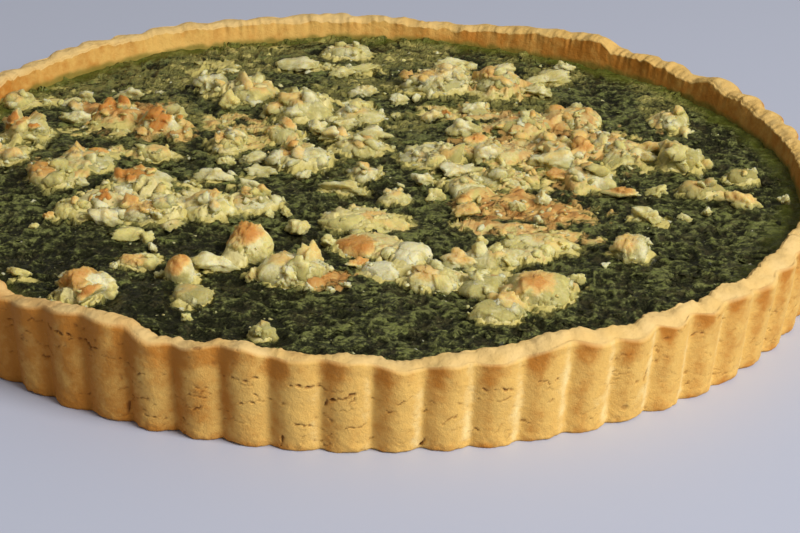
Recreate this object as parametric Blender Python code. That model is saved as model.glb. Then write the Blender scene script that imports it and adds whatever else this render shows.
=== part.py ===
"""Spinach quiche, 28 cm across and about 3 cm high.

Three kinds of piece: the fluted shortcrust case, the set spinach filling inside it, and the lumps of
crumbled cheese that were scattered on top before baking. Metres, +Z up. The origin is the middle of the
underside of the case, which stands on z = 0.
"""
import math

import bmesh
import bpy
import numpy as np

MM = 0.001
CLEAR = 0.3 * MM  # gap between pieces that touch in the real food

# The baked case. It has the flutes of a loose-bottomed tart tin.
RIM_RADIUS = 140 * MM  # to the crests of the flutes, at the rim
FOOT_RADIUS = 137.2 * MM  # to the crests of the flutes, just above the foot
RIM_HEIGHT = 27.3 * MM  # outer edge of the rim, where it neither swells nor dips
RIM_FALL = 0.7 * MM  # the rim's inner edge lies this much lower than its outer edge
RIM_INNER_RADIUS = 132.8 * MM
FOOT_BEVEL = 1.1 * MM
FLUTES = 66
FLUTE_DEPTH = 2.5 * MM
FIRST_GROOVE = math.radians(-88.6)  # where one of the grooves between the flutes lies
COLUMNS_PER_FLUTE = 6
BASE_THICKNESS = 4.0 * MM
BASE_RADIUS = 129.6 * MM  # where the inner wall meets the base

# The filling, which settled a little below the rim.
FILLING_RADIUS = 131.6 * MM  # of the case's inner wall, at the level of the filling
FILLING_EDGE = 20.3 * MM
FILLING_DOME = 0.9 * MM
FILLING_WAVE = 0.45 * MM
FILLING_RINGS = ((117, 66), (95, 66), (70, 33), (43, 33), (18, 11))  # radius in mm, points round it

# How the hand-pressed rim swells and dips: angle, reach to its right and to its left seen from outside
# below (towards smaller and larger angles), all in degrees, and height in mm.
RIM_SWELLS = (
    (-133, 4, 4, -1.4),
    (-123, 6, 6, 2.2),
    (-101, 3, 3, 1.6),
    (-91, 8, 7, -1.3),
    (-68, 8, 5, 2.1),
    (-53, 4, 5, 2.0),
    (-43, 6, 3, 1.5),
    (-33, 4, 5, 0.8),
    (24, 4, 4, 1.2),
    (31, 4, 4, 2.1),
    (43, 8, 6, 0.7),
    (53, 2.5, 20, 2.7),
    (78, 7, 9, -1.3),
    (118, 8, 8, 0.6),
    (134, 6, 7, 0.9),
    (158, 9, 12, -0.8),
    (-170, 9, 7, 1.2),
    (-150, 8, 8, 0.9),
)

# The lumps of cheese: middle x and y, length, width and height in mm, turn of the length from +X in
# degrees, and how far the peak leans along the length, from -1 to 1.
CHEESE_COLUMNS = 12
CHEESE_LUMPS = (
    # front left
    (-25, -110, 7, 7, 4.5, 10, 0.0),
    (-74, -88, 15, 14, 9.5, 10, 0.3),
    (-61, -67, 12, 8, 4, 5, 0.0),
    (-49.5, -77, 8.5, 9, 8, 0, 0.1),
    (-45, -88, 11, 11, 3.5, -30, 0.0),
    (-31.5, -61, 12, 12, 10, 0, -0.1),
    (-19.5, -74, 18, 15, 7, 20, 0.1),
    # front right
    (2.5, -36, 23, 12, 5, 5, 0.0),
    (2, -54, 16, 12, 5, 0, -0.1),
    (13, -60, 12, 15, 5, 10, 0.0),
    (7, -71, 12, 10, 4, 0, 0.0),
    (20.5, -77, 16, 15, 5.5, 20, 0.0),
    (38, -61, 22, 9, 5, 15, 0.2),
    (50, -53, 25, 7, 5, -20, -0.2),
    (33, -80, 14, 12, 4, 0, 0.0),
    (47, -85, 21, 19, 7, 15, 0.1),
    (35, -97, 15, 12, 4, 10, 0.0),
    (76.5, -57, 11, 10, 7.5, 0, 0.0),
    # middle left
    (-106, 31, 14, 12, 9, 0, -0.2),
    (-110, 11, 14, 11, 4, 0, 0.0),
    (-93, -6, 14, 15, 4.5, 0, 0.0),
    (-84, 6, 15, 12, 5, 15, 0.1),
    (-66, -9, 16, 11, 7, 0, 0.1),
    (-85, -30, 8, 8, 5, 0, 0.0),
    (-77, -26, 10, 9, 6, 20, 0.3),
    (-59, -33, 18, 14, 7, 0, 0.0),
    (-44, -30, 14, 13, 8, 0, 0.0),
    (-32.5, -25, 13, 12, 6, 10, 0.2),
    (-63, 14, 13, 8, 4, 0, 0.0),
    (-63, 37, 15, 12, 8, -10, -0.2),
    (-79, 46, 15, 11, 7, 10, 0.1),
    (-41, 25, 10, 16, 5, 0, 0.0),
    (-25, 32, 11, 12, 5, 0, 0.0),
    (-18.5, 10, 19, 13, 7, 0, 0.1),
    # middle right
    (0, 21, 14, 10, 5, 15, 0.2),
    (1, -1, 9, 7, 4, 0, 0.0),
    (9.5, -20, 7.5, 7, 5, 0, 0.0),
    (22, 12, 16, 15, 6, 0, 0.0),
    (44, 18, 12, 10, 5, 0, 0.0),
    (44, -4, 16, 9, 5, -10, -0.1),
    (31.5, -10, 9, 14, 5, 0, 0.0),
    (52, 45, 14, 10, 5, 0, -0.2),
    (67.5, 49, 14, 12, 7, 0, 0.2),
    (60, 27, 7.5, 12, 5, 0, 0.0),
    (72, 32, 9, 8, 6, 0, 0.0),
    (81, 20, 10, 15, 6, -20, 0.0),
    (69.5, -1, 11, 13, 6, 0, 0.0),
    (98, 14, 13, 14, 8, 0, 0.1),
    (99.5, 49, 10, 12, 6, -30, -0.2),
    (115.5, 3, 9, 9, 4, 0, 0.0),
    (101.5, -9, 13, 8, 4, 0, 0.0),
    # back
    (-5, 113, 18, 8, 4, 0, 0.0),
    (24, 80, 24, 16, 8, 5, 0.2),
    (44.5, 78, 15, 18, 8, 0, 0.2),
    (-37.5, 69, 15, 13, 7, 0, 0.2),
    (-20, 53, 17, 15, 8, 0, 0.0),
    (-2, 50, 13, 11, 5, 0, 0.1),
    (-112, 60, 12, 10, 5, 0, 0.0),
)


def clear_scene():
    for obj in list(bpy.data.objects):
        bpy.data.objects.remove(obj, do_unlink=True)


def material(name, colour, roughness):
    made = bpy.data.materials.new(name)
    made.use_nodes = True
    shader = made.node_tree.nodes["Principled BSDF"]
    shader.inputs["Base Color"].default_value = (*colour, 1.0)
    shader.inputs["Roughness"].default_value = roughness
    return made


def polar(radius, angle, height):
    """Points, one row each, from a radius, an angle and a height, any of which may be one number."""
    x = radius * np.cos(angle)
    y = radius * np.sin(angle)
    return np.stack([x, y, height + np.zeros_like(x)], axis=1)


def flute(angle):
    """How far the flutes stand out: arcs that rise from 0 in each groove to 1 on each crest."""
    turn = (angle - FIRST_GROOVE) * FLUTES / (2 * math.pi)
    across = turn - np.floor(turn) - 0.5
    return 1 - (2 * across) ** 2


def rim_swell(angle):
    """Height of the rim over its usual height: each swell is a squared cosine, steeper on one side."""
    total = np.zeros_like(angle)
    for middle, below, above, height in RIM_SWELLS:
        away = np.degrees(angle) - middle
        away = (away + 180) % 360 - 180
        near = np.clip(np.where(away < 0, -away / below, away / above), 0, 1)
        total += height * MM * np.cos(near * math.pi / 2) ** 2
    return total


def filling_height(x, y):
    """Top of the filling: a low dome with a few long, shallow waves."""
    dome = FILLING_DOME * (1 - (x**2 + y**2) / FILLING_RADIUS**2)
    waves = np.sin(x / (17 * MM) + 0.6) * np.cos(y / (21 * MM) - 0.4)
    return FILLING_EDGE + dome + FILLING_WAVE * waves


def solid_from_rings(name, rings, low_pole, high_pole, look):
    """A closed solid from rings of points, listed from the bottom pole up the outside to the top pole.

    A ring has as many points as the one below it, or a whole fraction of them.
    """
    work = bmesh.new()
    rows = [[work.verts.new(point) for point in ring] for ring in rings]
    bottom = work.verts.new(low_pole)
    top = work.verts.new(high_pole)
    first, last = rows[0], rows[-1]
    for i in range(len(first)):
        work.faces.new((bottom, first[(i + 1) % len(first)], first[i]))
    for i in range(len(last)):
        work.faces.new((top, last[i], last[(i + 1) % len(last)]))
    for below, above in zip(rows, rows[1:]):
        share = len(below) // len(above)
        for k, here in enumerate(above):
            there = above[(k + 1) % len(above)]
            for i in range(k * share, (k + 1) * share):
                work.faces.new((below[i], below[(i + 1) % len(below)], here))
            work.faces.new((here, below[(k + 1) * share % len(below)], there))
    mesh = bpy.data.meshes.new(name)
    work.to_mesh(mesh)
    work.free()
    mesh.materials.append(look)
    obj = bpy.data.objects.new(name, mesh)
    bpy.context.scene.collection.objects.link(obj)
    return obj


def add_crust(look):
    """The case: foot, fluted wall, uneven rim, inner wall and base, each a ring of points."""
    columns = FLUTES * COLUMNS_PER_FLUTE
    angle = FIRST_GROOVE + np.arange(columns) * 2 * math.pi / columns
    groove = FLUTE_DEPTH * (1 - flute(angle))
    swell = rim_swell(angle)
    rings = [
        polar(FOOT_RADIUS - FOOT_BEVEL - groove, angle, 0.0),
        polar(FOOT_RADIUS - groove, angle, FOOT_BEVEL),
        polar(RIM_RADIUS - groove, angle, RIM_HEIGHT + swell),
        polar(RIM_INNER_RADIUS, angle, RIM_HEIGHT - RIM_FALL + swell),
        polar(FILLING_RADIUS, angle, FILLING_EDGE),
        polar(BASE_RADIUS, angle, BASE_THICKNESS),
    ]
    return solid_from_rings("crust", rings, (0, 0, 0), (0, 0, BASE_THICKNESS), look)


def add_filling(look):
    """The filling: a disc that fills the case up to its uneven top."""
    columns = 2 * FILLING_RINGS[0][1]
    angle = FIRST_GROOVE + np.arange(columns) * 2 * math.pi / columns
    edge = polar(FILLING_RADIUS - CLEAR, angle, 0.0)
    edge[:, 2] = np.minimum(filling_height(edge[:, 0], edge[:, 1]), FILLING_EDGE)
    rings = [polar(BASE_RADIUS - CLEAR, angle, BASE_THICKNESS + CLEAR), edge]
    for radius, points in FILLING_RINGS:
        angle = FIRST_GROOVE + np.arange(points) * 2 * math.pi / points
        ring = polar(radius * MM, angle, 0.0)
        ring[:, 2] = filling_height(ring[:, 0], ring[:, 1])
        rings.append(ring)
    middle = (0, 0, filling_height(0.0, 0.0))
    return solid_from_rings("filling", rings, (0, 0, BASE_THICKNESS + CLEAR), middle, look)


def room_towards(index, angle):
    """How far lump number index may reach along each angle from its middle.

    Between two lumps runs a straight cut, nearer the smaller one, and each stays on its own side.
    """
    x, y, length, width = (CHEESE_LUMPS[index][i] * MM for i in range(4))
    along, across = np.cos(angle), np.sin(angle)
    inward = x * along + y * across
    wall = FILLING_RADIUS - 2 * CLEAR
    room = -inward + np.sqrt(inward**2 + wall**2 - x**2 - y**2)
    size = (length + width) / 2
    for other, lump in enumerate(CHEESE_LUMPS):
        if other == index:
            continue
        step_x, step_y = lump[0] * MM - x, lump[1] * MM - y
        apart = math.hypot(step_x, step_y)
        other_size = (lump[2] + lump[3]) * MM / 2
        if apart > size + other_size:
            continue
        cut = apart * size / (size + other_size) - CLEAR
        facing = (along * step_x + across * step_y) / apart
        room = np.where(facing > 0.05, np.minimum(room, cut / np.maximum(facing, 0.05)), room)
    return room


def add_cheese(index, look):
    """One lump: a ragged oval on the filling, with steep sides and a peak that may lean."""
    x, y, length, width, height, turn, lean = CHEESE_LUMPS[index]
    x, y, length, width, height = (value * MM for value in (x, y, length, width, height))
    turn = math.radians(turn)
    draw = np.random.default_rng(100 + index)
    angle = np.arange(CHEESE_COLUMNS) * 2 * math.pi / CHEESE_COLUMNS
    own = angle - turn
    oval = 1 / np.hypot(np.cos(own) / (length / 2), np.sin(own) / (width / 2))
    ragged = 1 + sum(
        size * np.cos(waves * angle + draw.uniform(0, 2 * math.pi))
        for waves, size in ((2, 0.06), (3, 0.10), (5, 0.08))
    )
    outline = np.minimum(oval * ragged, room_towards(index, angle))
    peak = np.array([math.cos(turn), math.sin(turn)]) * lean * length / 2
    rings = []
    for reach, rise, shift in ((0.90, 0.0, 0.0), (1.0, 0.42, 0.15), (0.60, 0.86, 0.7)):
        uneven = draw.uniform(0.85, 1.1, CHEESE_COLUMNS) if rise else 1.0
        ring = polar(outline * reach, angle, 0.0)
        ring[:, 0] += x + peak[0] * shift
        ring[:, 1] += y + peak[1] * shift
        ring[:, 2] = filling_height(ring[:, 0], ring[:, 1]) + 1.5 * CLEAR + height * rise * uneven
        rings.append(ring)
    bottom = (x, y, filling_height(x, y) + 1.5 * CLEAR)
    top_x, top_y = x + peak[0], y + peak[1]
    top = (top_x, top_y, filling_height(top_x, top_y) + height)
    return solid_from_rings(f"cheese_{index + 1:02d}", rings, bottom, top, look)


def main():
    clear_scene()
    add_crust(material("baked_crust", (0.72, 0.45, 0.17), 0.7))
    add_filling(material("spinach_filling", (0.035, 0.055, 0.018), 0.45))
    cheese = material("crumbled_cheese", (0.72, 0.62, 0.34), 0.6)
    for index in range(len(CHEESE_LUMPS)):
        add_cheese(index, cheese)


main()
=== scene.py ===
"""The looks of a spinach quiche: its fluted shortcrust case, the chopped spinach set in egg, and the cheese.

Shapes are worked out in millimetres, as whole arrays of points, and turned to metres when they become
meshes. Angles run round the middle of the quiche from +X towards +Y, and the viewer stands at -Y.
"""
import itertools
import math

import bpy
import numpy as np
from mathutils import Matrix, Vector


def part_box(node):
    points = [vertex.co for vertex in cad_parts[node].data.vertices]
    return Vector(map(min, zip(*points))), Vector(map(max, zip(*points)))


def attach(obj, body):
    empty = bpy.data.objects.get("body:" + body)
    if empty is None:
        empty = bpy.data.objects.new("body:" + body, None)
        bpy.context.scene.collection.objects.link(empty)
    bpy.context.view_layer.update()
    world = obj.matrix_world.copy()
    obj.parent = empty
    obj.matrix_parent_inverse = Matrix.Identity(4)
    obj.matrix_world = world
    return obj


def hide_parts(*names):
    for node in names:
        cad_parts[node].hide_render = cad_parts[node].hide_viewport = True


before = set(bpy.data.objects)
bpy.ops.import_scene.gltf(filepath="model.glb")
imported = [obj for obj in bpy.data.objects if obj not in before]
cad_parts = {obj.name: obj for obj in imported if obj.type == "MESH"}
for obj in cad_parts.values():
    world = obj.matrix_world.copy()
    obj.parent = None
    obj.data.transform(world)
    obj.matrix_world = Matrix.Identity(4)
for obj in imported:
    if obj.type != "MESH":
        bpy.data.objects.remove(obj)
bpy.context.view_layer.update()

MM = 0.001
FINENESS = 1.0
NEIGHBOURS = np.array(list(itertools.product((-1, 0, 1), repeat=3)))

# The case. The widest radius comes from its solid; the rest repeats how the solid is made.
RIM_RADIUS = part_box("crust")[1].x / MM
FOOT_RADIUS = RIM_RADIUS - 2.8
RIM_HEIGHT = 27.3
RIM_FALL = 0.7
RIM_INNER_RADIUS = RIM_RADIUS - 7.2
FOOT_BEVEL = 1.1
FLUTES = 66
FLUTE_DEPTH = 2.5
FIRST_GROOVE = math.radians(-88.6)
BASE_THICKNESS = 4.0
BASE_RADIUS = 129.6
FILLING_RADIUS = 131.6
FILLING_EDGE = 20.3
FILLING_DOME = 0.9
FILLING_WAVE = 0.45
GROOVE_COLUMNS = 32  # columns of the wall's grid in each flute
SPLIT_RADIUS = RIM_RADIUS - 1.5  # the circle along which the lengths of splits are counted, mm
SMALL_SPLITS = 520

# Circles on which the noise of the rim is read: its inner edge, its top and its outer edge, mm.
INNER_RING = 133
TOP_RING = 136
OUTER_RING = 140

# Where the rim's outer edge was pressed lower: the angles where that begins, is full, begins to end and is
# over, in degrees, and how much lower it is there, in mm.
PRESSED = (-90, -72, -22, 0)
PRESSED_DROP = 2.2

# The middle of the side of the case turned away from the lamp, outside and inside, which painted shade darkens,
# in degrees.
SHADE_OUTSIDE = -160
SHADE_INSIDE = 30

# How the hand-pressed rim swells and dips: angle, reach towards smaller and towards larger angles, all in
# degrees, and height in mm.
RIM_SWELLS = (
    (-133, 4, 4, -1.4),
    (-123, 6, 6, 2.2),
    (-118, 5, 4, 2.7),
    (-114.5, 3, 3, 0.9),
    (-106.5, 3, 2.5, 1.1),
    (-102.5, 4, 3, 2.0),
    (-90.5, 3, 3, 0.4),
    (-85, 6, 5, -2.0),
    (-68, 8, 5, 2.1),
    (-65, 7, 8, 1.6),
    (-55.5, 3, 3, 2.0),
    (-51, 4, 6, 1.8),
    (-43, 6, 4, 2.0),
    (-33, 4, 5, 1.4),
    (-25, 8, 9, 2.6),
    (24, 4, 4, 1.2),
    (31, 4, 4, 2.1),
    (43, 8, 6, 0.7),
    (53, 2.5, 20, 2.7),
    (78, 7, 9, -1.3),
    (118, 8, 8, 0.6),
    (134, 6, 7, 0.9),
    (158, 9, 12, -0.8),
    (-170, 9, 7, 1.2),
    (-150, 8, 8, 0.9),
)

# Splits in the dough of the wall: middle angle in degrees, then height, length along the wall, rise from its
# left to its right end as seen from outside, and depth, in mm.
WALL_SPLITS = (
    (-122.5, 22.6, 16.0, -1.6, 1.2),
    (-129.5, 18.2, 3.0, 0.6, 0.8),
    (-127.0, 12.5, 2.5, -0.8, 0.9),
    (-117.6, 19.6, 4.5, -0.8, 0.7),
    (-116.4, 10.4, 3.0, 0.9, 0.6),
    (-112.4, 17.0, 8.5, 0.3, 0.8),
    (-121.3, 5.2, 5.0, -0.2, 0.7),
    (-112.2, 4.4, 6.5, -0.5, 0.7),
    (-106.8, 14.2, 3.5, 0.0, 0.5),
    (-102.6, 20.4, 9.0, 1.4, 0.8),
    (-101.4, 13.6, 6.5, 0.6, 0.9),
    (-95.4, 19.2, 11.0, -1.4, 1.1),
    (-95.6, 8.0, 6.5, -0.9, 0.9),
    (-91.6, 17.4, 6.5, 2.9, 1.3),
    (-90.4, 8.4, 5.0, 1.1, 0.6),
    (-85.3, 16.2, 4.5, 2.2, 0.6),
    (-80.6, 9.8, 5.0, 1.4, 0.6),
    (-75.2, 17.6, 8.0, -0.7, 1.1),
    (-69.4, 18.4, 6.5, -0.6, 1.0),
    (-71.0, 6.6, 5.5, -0.6, 0.6),
    (-60.5, 17.0, 4.0, 1.0, 0.6),
    (-49.6, 20.0, 3.5, 1.4, 0.8),
    (-45.2, 14.5, 3.5, -1.3, 0.6),
    (-116.2, 3.2, 0.9, 5.5, 1.5),
    (-98.2, 2.4, 0.8, 4.5, 1.4),
    (-83.0, 2.0, 1.4, 4.0, 1.7),
    (-93.4, 15.5, 0.8, 3.0, 1.2),
    (-100.2, 15.0, 4.0, -1.6, 0.7),
    (-87.0, 13.6, 3.6, -0.9, 0.7),
    (-79.0, 13.2, 3.0, -2.2, 0.6),
    (-64.0, 4.2, 3.0, 0.8, 0.8),
    (-57.2, 13.0, 0.8, 3.4, 0.9),
    (-41.0, 19.0, 3.0, 0.8, 0.8),
    (-36.5, 17.5, 2.6, -0.9, 0.8),
)


# ---------------------------------------------------------------- chance and noise


def chance(x, y, z, salt):
    """Even random numbers from 0 to 1, always the same for a whole-number point: its three numbers are
    multiplied by large odd numbers, and the high bits are folded back onto the low ones."""
    mixed = x.astype(np.uint32) * np.uint32(0x9E3779B1)
    mixed ^= y.astype(np.uint32) * np.uint32(0x85EBCA77)
    mixed ^= z.astype(np.uint32) * np.uint32(0xC2B2AE3D)
    mixed += np.uint32(salt * 668265263 & 0xFFFFFFFF)
    for shift, factor in ((15, 0x2C1B3C6D), (12, 0x297A2D39)):
        mixed ^= mixed >> np.uint32(shift)
        mixed *= np.uint32(factor)
    mixed ^= mixed >> np.uint32(15)
    return (mixed / 4294967295.0).astype(np.float32)


def noise(points, size, salt=0):
    """Smooth noise from -1 to 1 with blobs about size across: a random value at each corner of a cubic
    lattice, eased between the corners by 6t^5 - 15t^4 + 10t^3."""
    scaled = points / size
    low = np.floor(scaled).astype(np.int64)
    part = scaled - low
    ease = part**3 * (part * (part * 6 - 15) + 10)
    total = 0.0
    for i in (0, 1):
        for j in (0, 1):
            for k in (0, 1):
                share = np.abs(1 - i - ease[..., 0]) * np.abs(1 - j - ease[..., 1])
                share = share * np.abs(1 - k - ease[..., 2])
                total = total + share * chance(low[..., 0] + i, low[..., 1] + j, low[..., 2] + k, salt)
    return 2 * total - 1


def rough(points, size, octaves, salt=0, fade=0.5):
    """Noise summed over octaves, each half as large in size and fade times as strong, kept near -1 to 1."""
    total, strength, whole = 0.0, 1.0, 0.0
    for octave in range(octaves):
        total = total + strength * noise(points, size / 2**octave, salt + 17 * octave)
        whole += strength
        strength *= fade
    return total / whole * 1.4


def cells(points, size, salt=0):
    """A pattern of broken facets: one seed is dropped at random in each cube of the lattice. It gives how far
    the border to the next cell is, the nearest seed's own random number, and the height of a plane tilted
    at random through that seed, all in sizes."""
    scaled = points / size
    low = np.floor(scaled).astype(np.int64)
    part = scaled - low
    first = np.full(points.shape[:-1], 9.0)
    second = np.full(points.shape[:-1], 9.0)
    owner = np.zeros(points.shape[:-1], np.int64)
    for number, (i, j, k) in enumerate(NEIGHBOURS):
        x, y, z = low[..., 0] + i, low[..., 1] + j, low[..., 2] + k
        gap = (i + chance(x, y, z, salt) - part[..., 0]) ** 2
        gap = gap + (j + chance(x, y, z, salt + 1) - part[..., 1]) ** 2
        gap = np.sqrt(gap + (k + chance(x, y, z, salt + 2) - part[..., 2]) ** 2)
        nearer = gap < first
        second = np.where(nearer, first, np.minimum(second, gap))
        owner = np.where(nearer, number, owner)
        first = np.where(nearer, gap, first)
    lattice = low + NEIGHBOURS[owner]
    x, y, z = lattice[..., 0], lattice[..., 1], lattice[..., 2]
    plane = 0.0
    for axis in range(3):
        seed = lattice[..., axis] + chance(x, y, z, salt + axis)
        plane = plane + 2 * (chance(x, y, z, salt + 4 + axis) - 0.5) * (scaled[..., axis] - seed)
    return second - first, chance(x, y, z, salt + 3), plane


def step(low, high, value):
    """0 below low, 1 above high, and 3t^2 - 2t^3 between them."""
    part = np.clip((value - low) / (high - low), 0, 1)
    return part * part * (3 - 2 * part)


# ---------------------------------------------------------------- making meshes


def grid_faces(rows, columns, close_rows=False, close_columns=False):
    """Four-cornered faces between neighbouring points of a grid numbered row by row. A closed direction
    joins its last points to its first."""
    i, j = np.meshgrid(
        np.arange(rows if close_rows else rows - 1),
        np.arange(columns if close_columns else columns - 1),
        indexing="ij",
    )
    next_i, next_j = (i + 1) % rows, (j + 1) % columns
    corners = (i * columns + j, next_i * columns + j, next_i * columns + next_j, i * columns + next_j)
    return np.stack(corners, axis=-1).reshape(-1, 4)


def grid_normals(grid, close_rows=False, close_columns=False):
    """Unit normals of a grid of points: the cross product of its two directions."""

    def slope(axis, closed):
        if closed:
            return np.roll(grid, -1, axis) - np.roll(grid, 1, axis)
        return np.gradient(grid, axis=axis)

    across = np.cross(slope(0, close_rows), slope(1, close_columns))
    return across / np.maximum(np.linalg.norm(across, axis=-1, keepdims=True), 1e-9)


def make_piece(name, points, faces, finish, replaces=(), values=(), normals=None):
    """One piece: points in mm, faces as arrays of point numbers with one face a row, named values that the
    finish reads at each point, and normals where neighbouring pieces have to shade as one."""
    mesh = bpy.data.meshes.new(name)
    mesh.vertices.add(len(points))
    mesh.vertices.foreach_set("co", (points * MM).astype(np.float32).ravel())
    corners = np.concatenate([part.ravel() for part in faces]).astype(np.int32)
    counts = np.concatenate([np.full(len(part), part.shape[1]) for part in faces])
    mesh.loops.add(len(corners))
    mesh.loops.foreach_set("vertex_index", corners)
    mesh.polygons.add(len(counts))
    mesh.polygons.foreach_set("loop_start", (np.cumsum(counts) - counts).astype(np.int32))
    mesh.update(calc_edges=True)
    mesh.validate(verbose=False)
    mesh.shade_smooth()
    for key, numbers in dict(values).items():
        layer = mesh.attributes.new(key, "FLOAT", "POINT")
        layer.data.foreach_set("value", np.asarray(numbers, np.float32).ravel())
    if normals is not None:
        mesh.normals_split_custom_set_from_vertices(normals.reshape(-1, 3).tolist())
    mesh.materials.append(finish)
    piece = bpy.data.objects.new(name, mesh)
    bpy.context.scene.collection.objects.link(piece)
    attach(piece, "root")
    if replaces:
        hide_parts(*replaces)
    return piece


# ---------------------------------------------------------------- finishes


def srgb(red, green, blue):
    """A colour given as 0 to 255, as light."""
    shares = (value / 255 for value in (red, green, blue))
    return tuple(v / 12.92 if v <= 0.04045 else ((v + 0.055) / 1.055) ** 2.4 for v in shares) + (1.0,)


class Value:
    """A number that changes over a surface. Arithmetic on it adds the Math nodes that work it out."""

    def __init__(self, paint, socket):
        self.paint = paint
        self.socket = socket

    def _math(self, operation, first, second):
        return self.paint.node("ShaderNodeMath", {"operation": operation}, {0: first, 1: second})

    def __add__(self, other):
        return self._math("ADD", self, other)

    def __sub__(self, other):
        return self._math("SUBTRACT", self, other)

    def __rsub__(self, other):
        return self._math("SUBTRACT", other, self)

    def __mul__(self, other):
        return self._math("MULTIPLY", self, other)

    __radd__ = __add__
    __rmul__ = __mul__

    def between(self, low, high):
        """0 below low, 1 above high, smooth between."""
        return self.paint.node(
            "ShaderNodeMapRange",
            {"interpolation_type": "SMOOTHSTEP"},
            {"Value": self, "From Min": low, "From Max": high},
        )


class Paint:
    """A material with a Principled shader, and short ways to add the nodes in front of it."""

    def __init__(self, name, **constants):
        self.material = bpy.data.materials.new(name)
        self.material.use_nodes = True
        self.tree = self.material.node_tree
        self.shader = self.tree.nodes["Principled BSDF"]
        for socket, value in constants.items():
            self.shader.inputs[socket.replace("_", " ")].default_value = value
        self.place = self.node("ShaderNodeTexCoord", output="Object").socket

    def node(self, kind, settings=None, inputs=None, output=0):
        """Adds a node, sets its settings, fills or links its sockets, and gives one output."""
        made = self.tree.nodes.new(kind)
        for key, value in (settings or {}).items():
            setattr(made, key, value)
        for key, value in (inputs or {}).items():
            self.feed(made.inputs[key], value)
        return Value(self, made.outputs[output])

    def feed(self, socket, value):
        """Links a value or another node's output to a socket, or sets the socket to a number or a colour."""
        if isinstance(value, Value):
            value = value.socket
        if isinstance(value, bpy.types.NodeSocket):
            self.tree.links.new(value, socket)
        else:
            socket.default_value = value

    def point(self, name):
        """A value kept at the mesh's points."""
        return self.node("ShaderNodeAttribute", {"attribute_name": name}, output="Fac")

    def noise(self, per_metre, detail=3.0, roughness=0.55, stretch=1.0):
        """Noise with about so many blobs a metre, drawn out along X by stretch."""
        squeeze = (1 / stretch, 1.0, 1.0)
        drawn = self.node("ShaderNodeVectorMath", {"operation": "MULTIPLY"}, {0: self.place, 1: squeeze})
        return self.node(
            "ShaderNodeTexNoise",
            {},
            {"Vector": drawn, "Scale": per_metre, "Detail": detail, "Roughness": roughness},
        )

    def mix(self, share, first, second):
        """The first colour where share is 0, the second where it is 1."""
        made = self.tree.nodes.new("ShaderNodeMix")
        made.data_type = "RGBA"
        for index, value in ((0, share), (6, first), (7, second)):
            self.feed(made.inputs[index], value)
        return Value(self, made.outputs[2])

    def finish(self, colour, roughness, bump, bump_height):
        """Links what varies: the colour, the roughness and the fine relief, bump_height in metres."""
        self.feed(self.shader.inputs["Base Color"], colour)
        self.feed(self.shader.inputs["Roughness"], roughness)
        relief = self.node("ShaderNodeBump", {}, {"Strength": 1.0, "Distance": bump_height, "Height": bump})
        self.feed(self.shader.inputs["Normal"], relief)
        return self.material


def crust_finish():
    """Baked shortcrust: golden and sandy, browner where its tone value is high, which holds real browning and
    painted shade;
    darker in its splits and pits as painted shade, pale on top of the rim, and stained olive where it meets the
    filling."""
    paint = Paint("baked_crust", Specular_IOR_Level=0.25)
    grain = paint.noise(900, 4.0, 0.7)
    patches = paint.noise(110, 3.0)
    mottle = paint.noise(380, 3.0, 0.6)
    specks = paint.noise(2300, 2.0, 0.8)
    tone_and_shade = paint.point("tone_and_shade") + (patches - 0.5) * 0.4 + (mottle - 0.5) * 0.7 + (grain - 0.5) * 0.5
    colour = paint.mix(tone_and_shade.between(-0.9, 0.0), srgb(242, 216, 150), srgb(225, 180, 96))
    colour = paint.mix(tone_and_shade.between(0.0, 1.0), colour, srgb(188, 122, 42))
    colour = paint.mix(paint.point("rim_top"), colour, srgb(228, 194, 130))
    colour = paint.mix(specks.between(0.62, 0.78) * 0.4, colour, srgb(178, 112, 44))
    colour = paint.mix(grain.between(0.66, 0.8) * 0.35, colour, srgb(244, 220, 160))
    colour = paint.mix(paint.point("stain") * 0.85, colour, srgb(122, 112, 40))
    # painted shade in the splits and pits
    colour = paint.mix(paint.point("split") * 0.85, colour, srgb(126, 74, 26))
    return paint.finish(colour, 0.74 + (grain - 0.5) * 0.2, grain + specks * 0.6 + mottle * 0.6, 0.00028)


# ---------------------------------------------------------------- the case


def flute(angle):
    """How far the flutes stand out: arcs that rise from 0 in each groove to 1 on each crest."""
    turn = (angle - FIRST_GROOVE) * FLUTES / (2 * math.pi)
    across = turn - np.floor(turn) - 0.5
    return 1 - (2 * across) ** 2


def rim_swell(angle):
    """Height of the rim over its usual height: each swell is a squared cosine, steeper on one side."""
    total = np.zeros_like(angle)
    for middle, below, above, height in RIM_SWELLS:
        away = (np.degrees(angle) - middle + 180) % 360 - 180
        near = np.clip(np.where(away < 0, -away / below, away / above), 0, 1)
        total += height * np.cos(near * math.pi / 2) ** 2
    return total


def ring_noise(angle, radius, size, salt):
    """Noise along a circle, which joins up with itself."""
    points = np.stack([radius * np.cos(angle), radius * np.sin(angle), np.zeros_like(angle)], axis=-1)
    return noise(points, size, salt)


def blur(values, spread):
    """Averages values round a circle, each over spread places on either side."""
    return sum(np.roll(values, shift) for shift in range(-spread, spread + 1)) / (2 * spread + 1)


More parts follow.
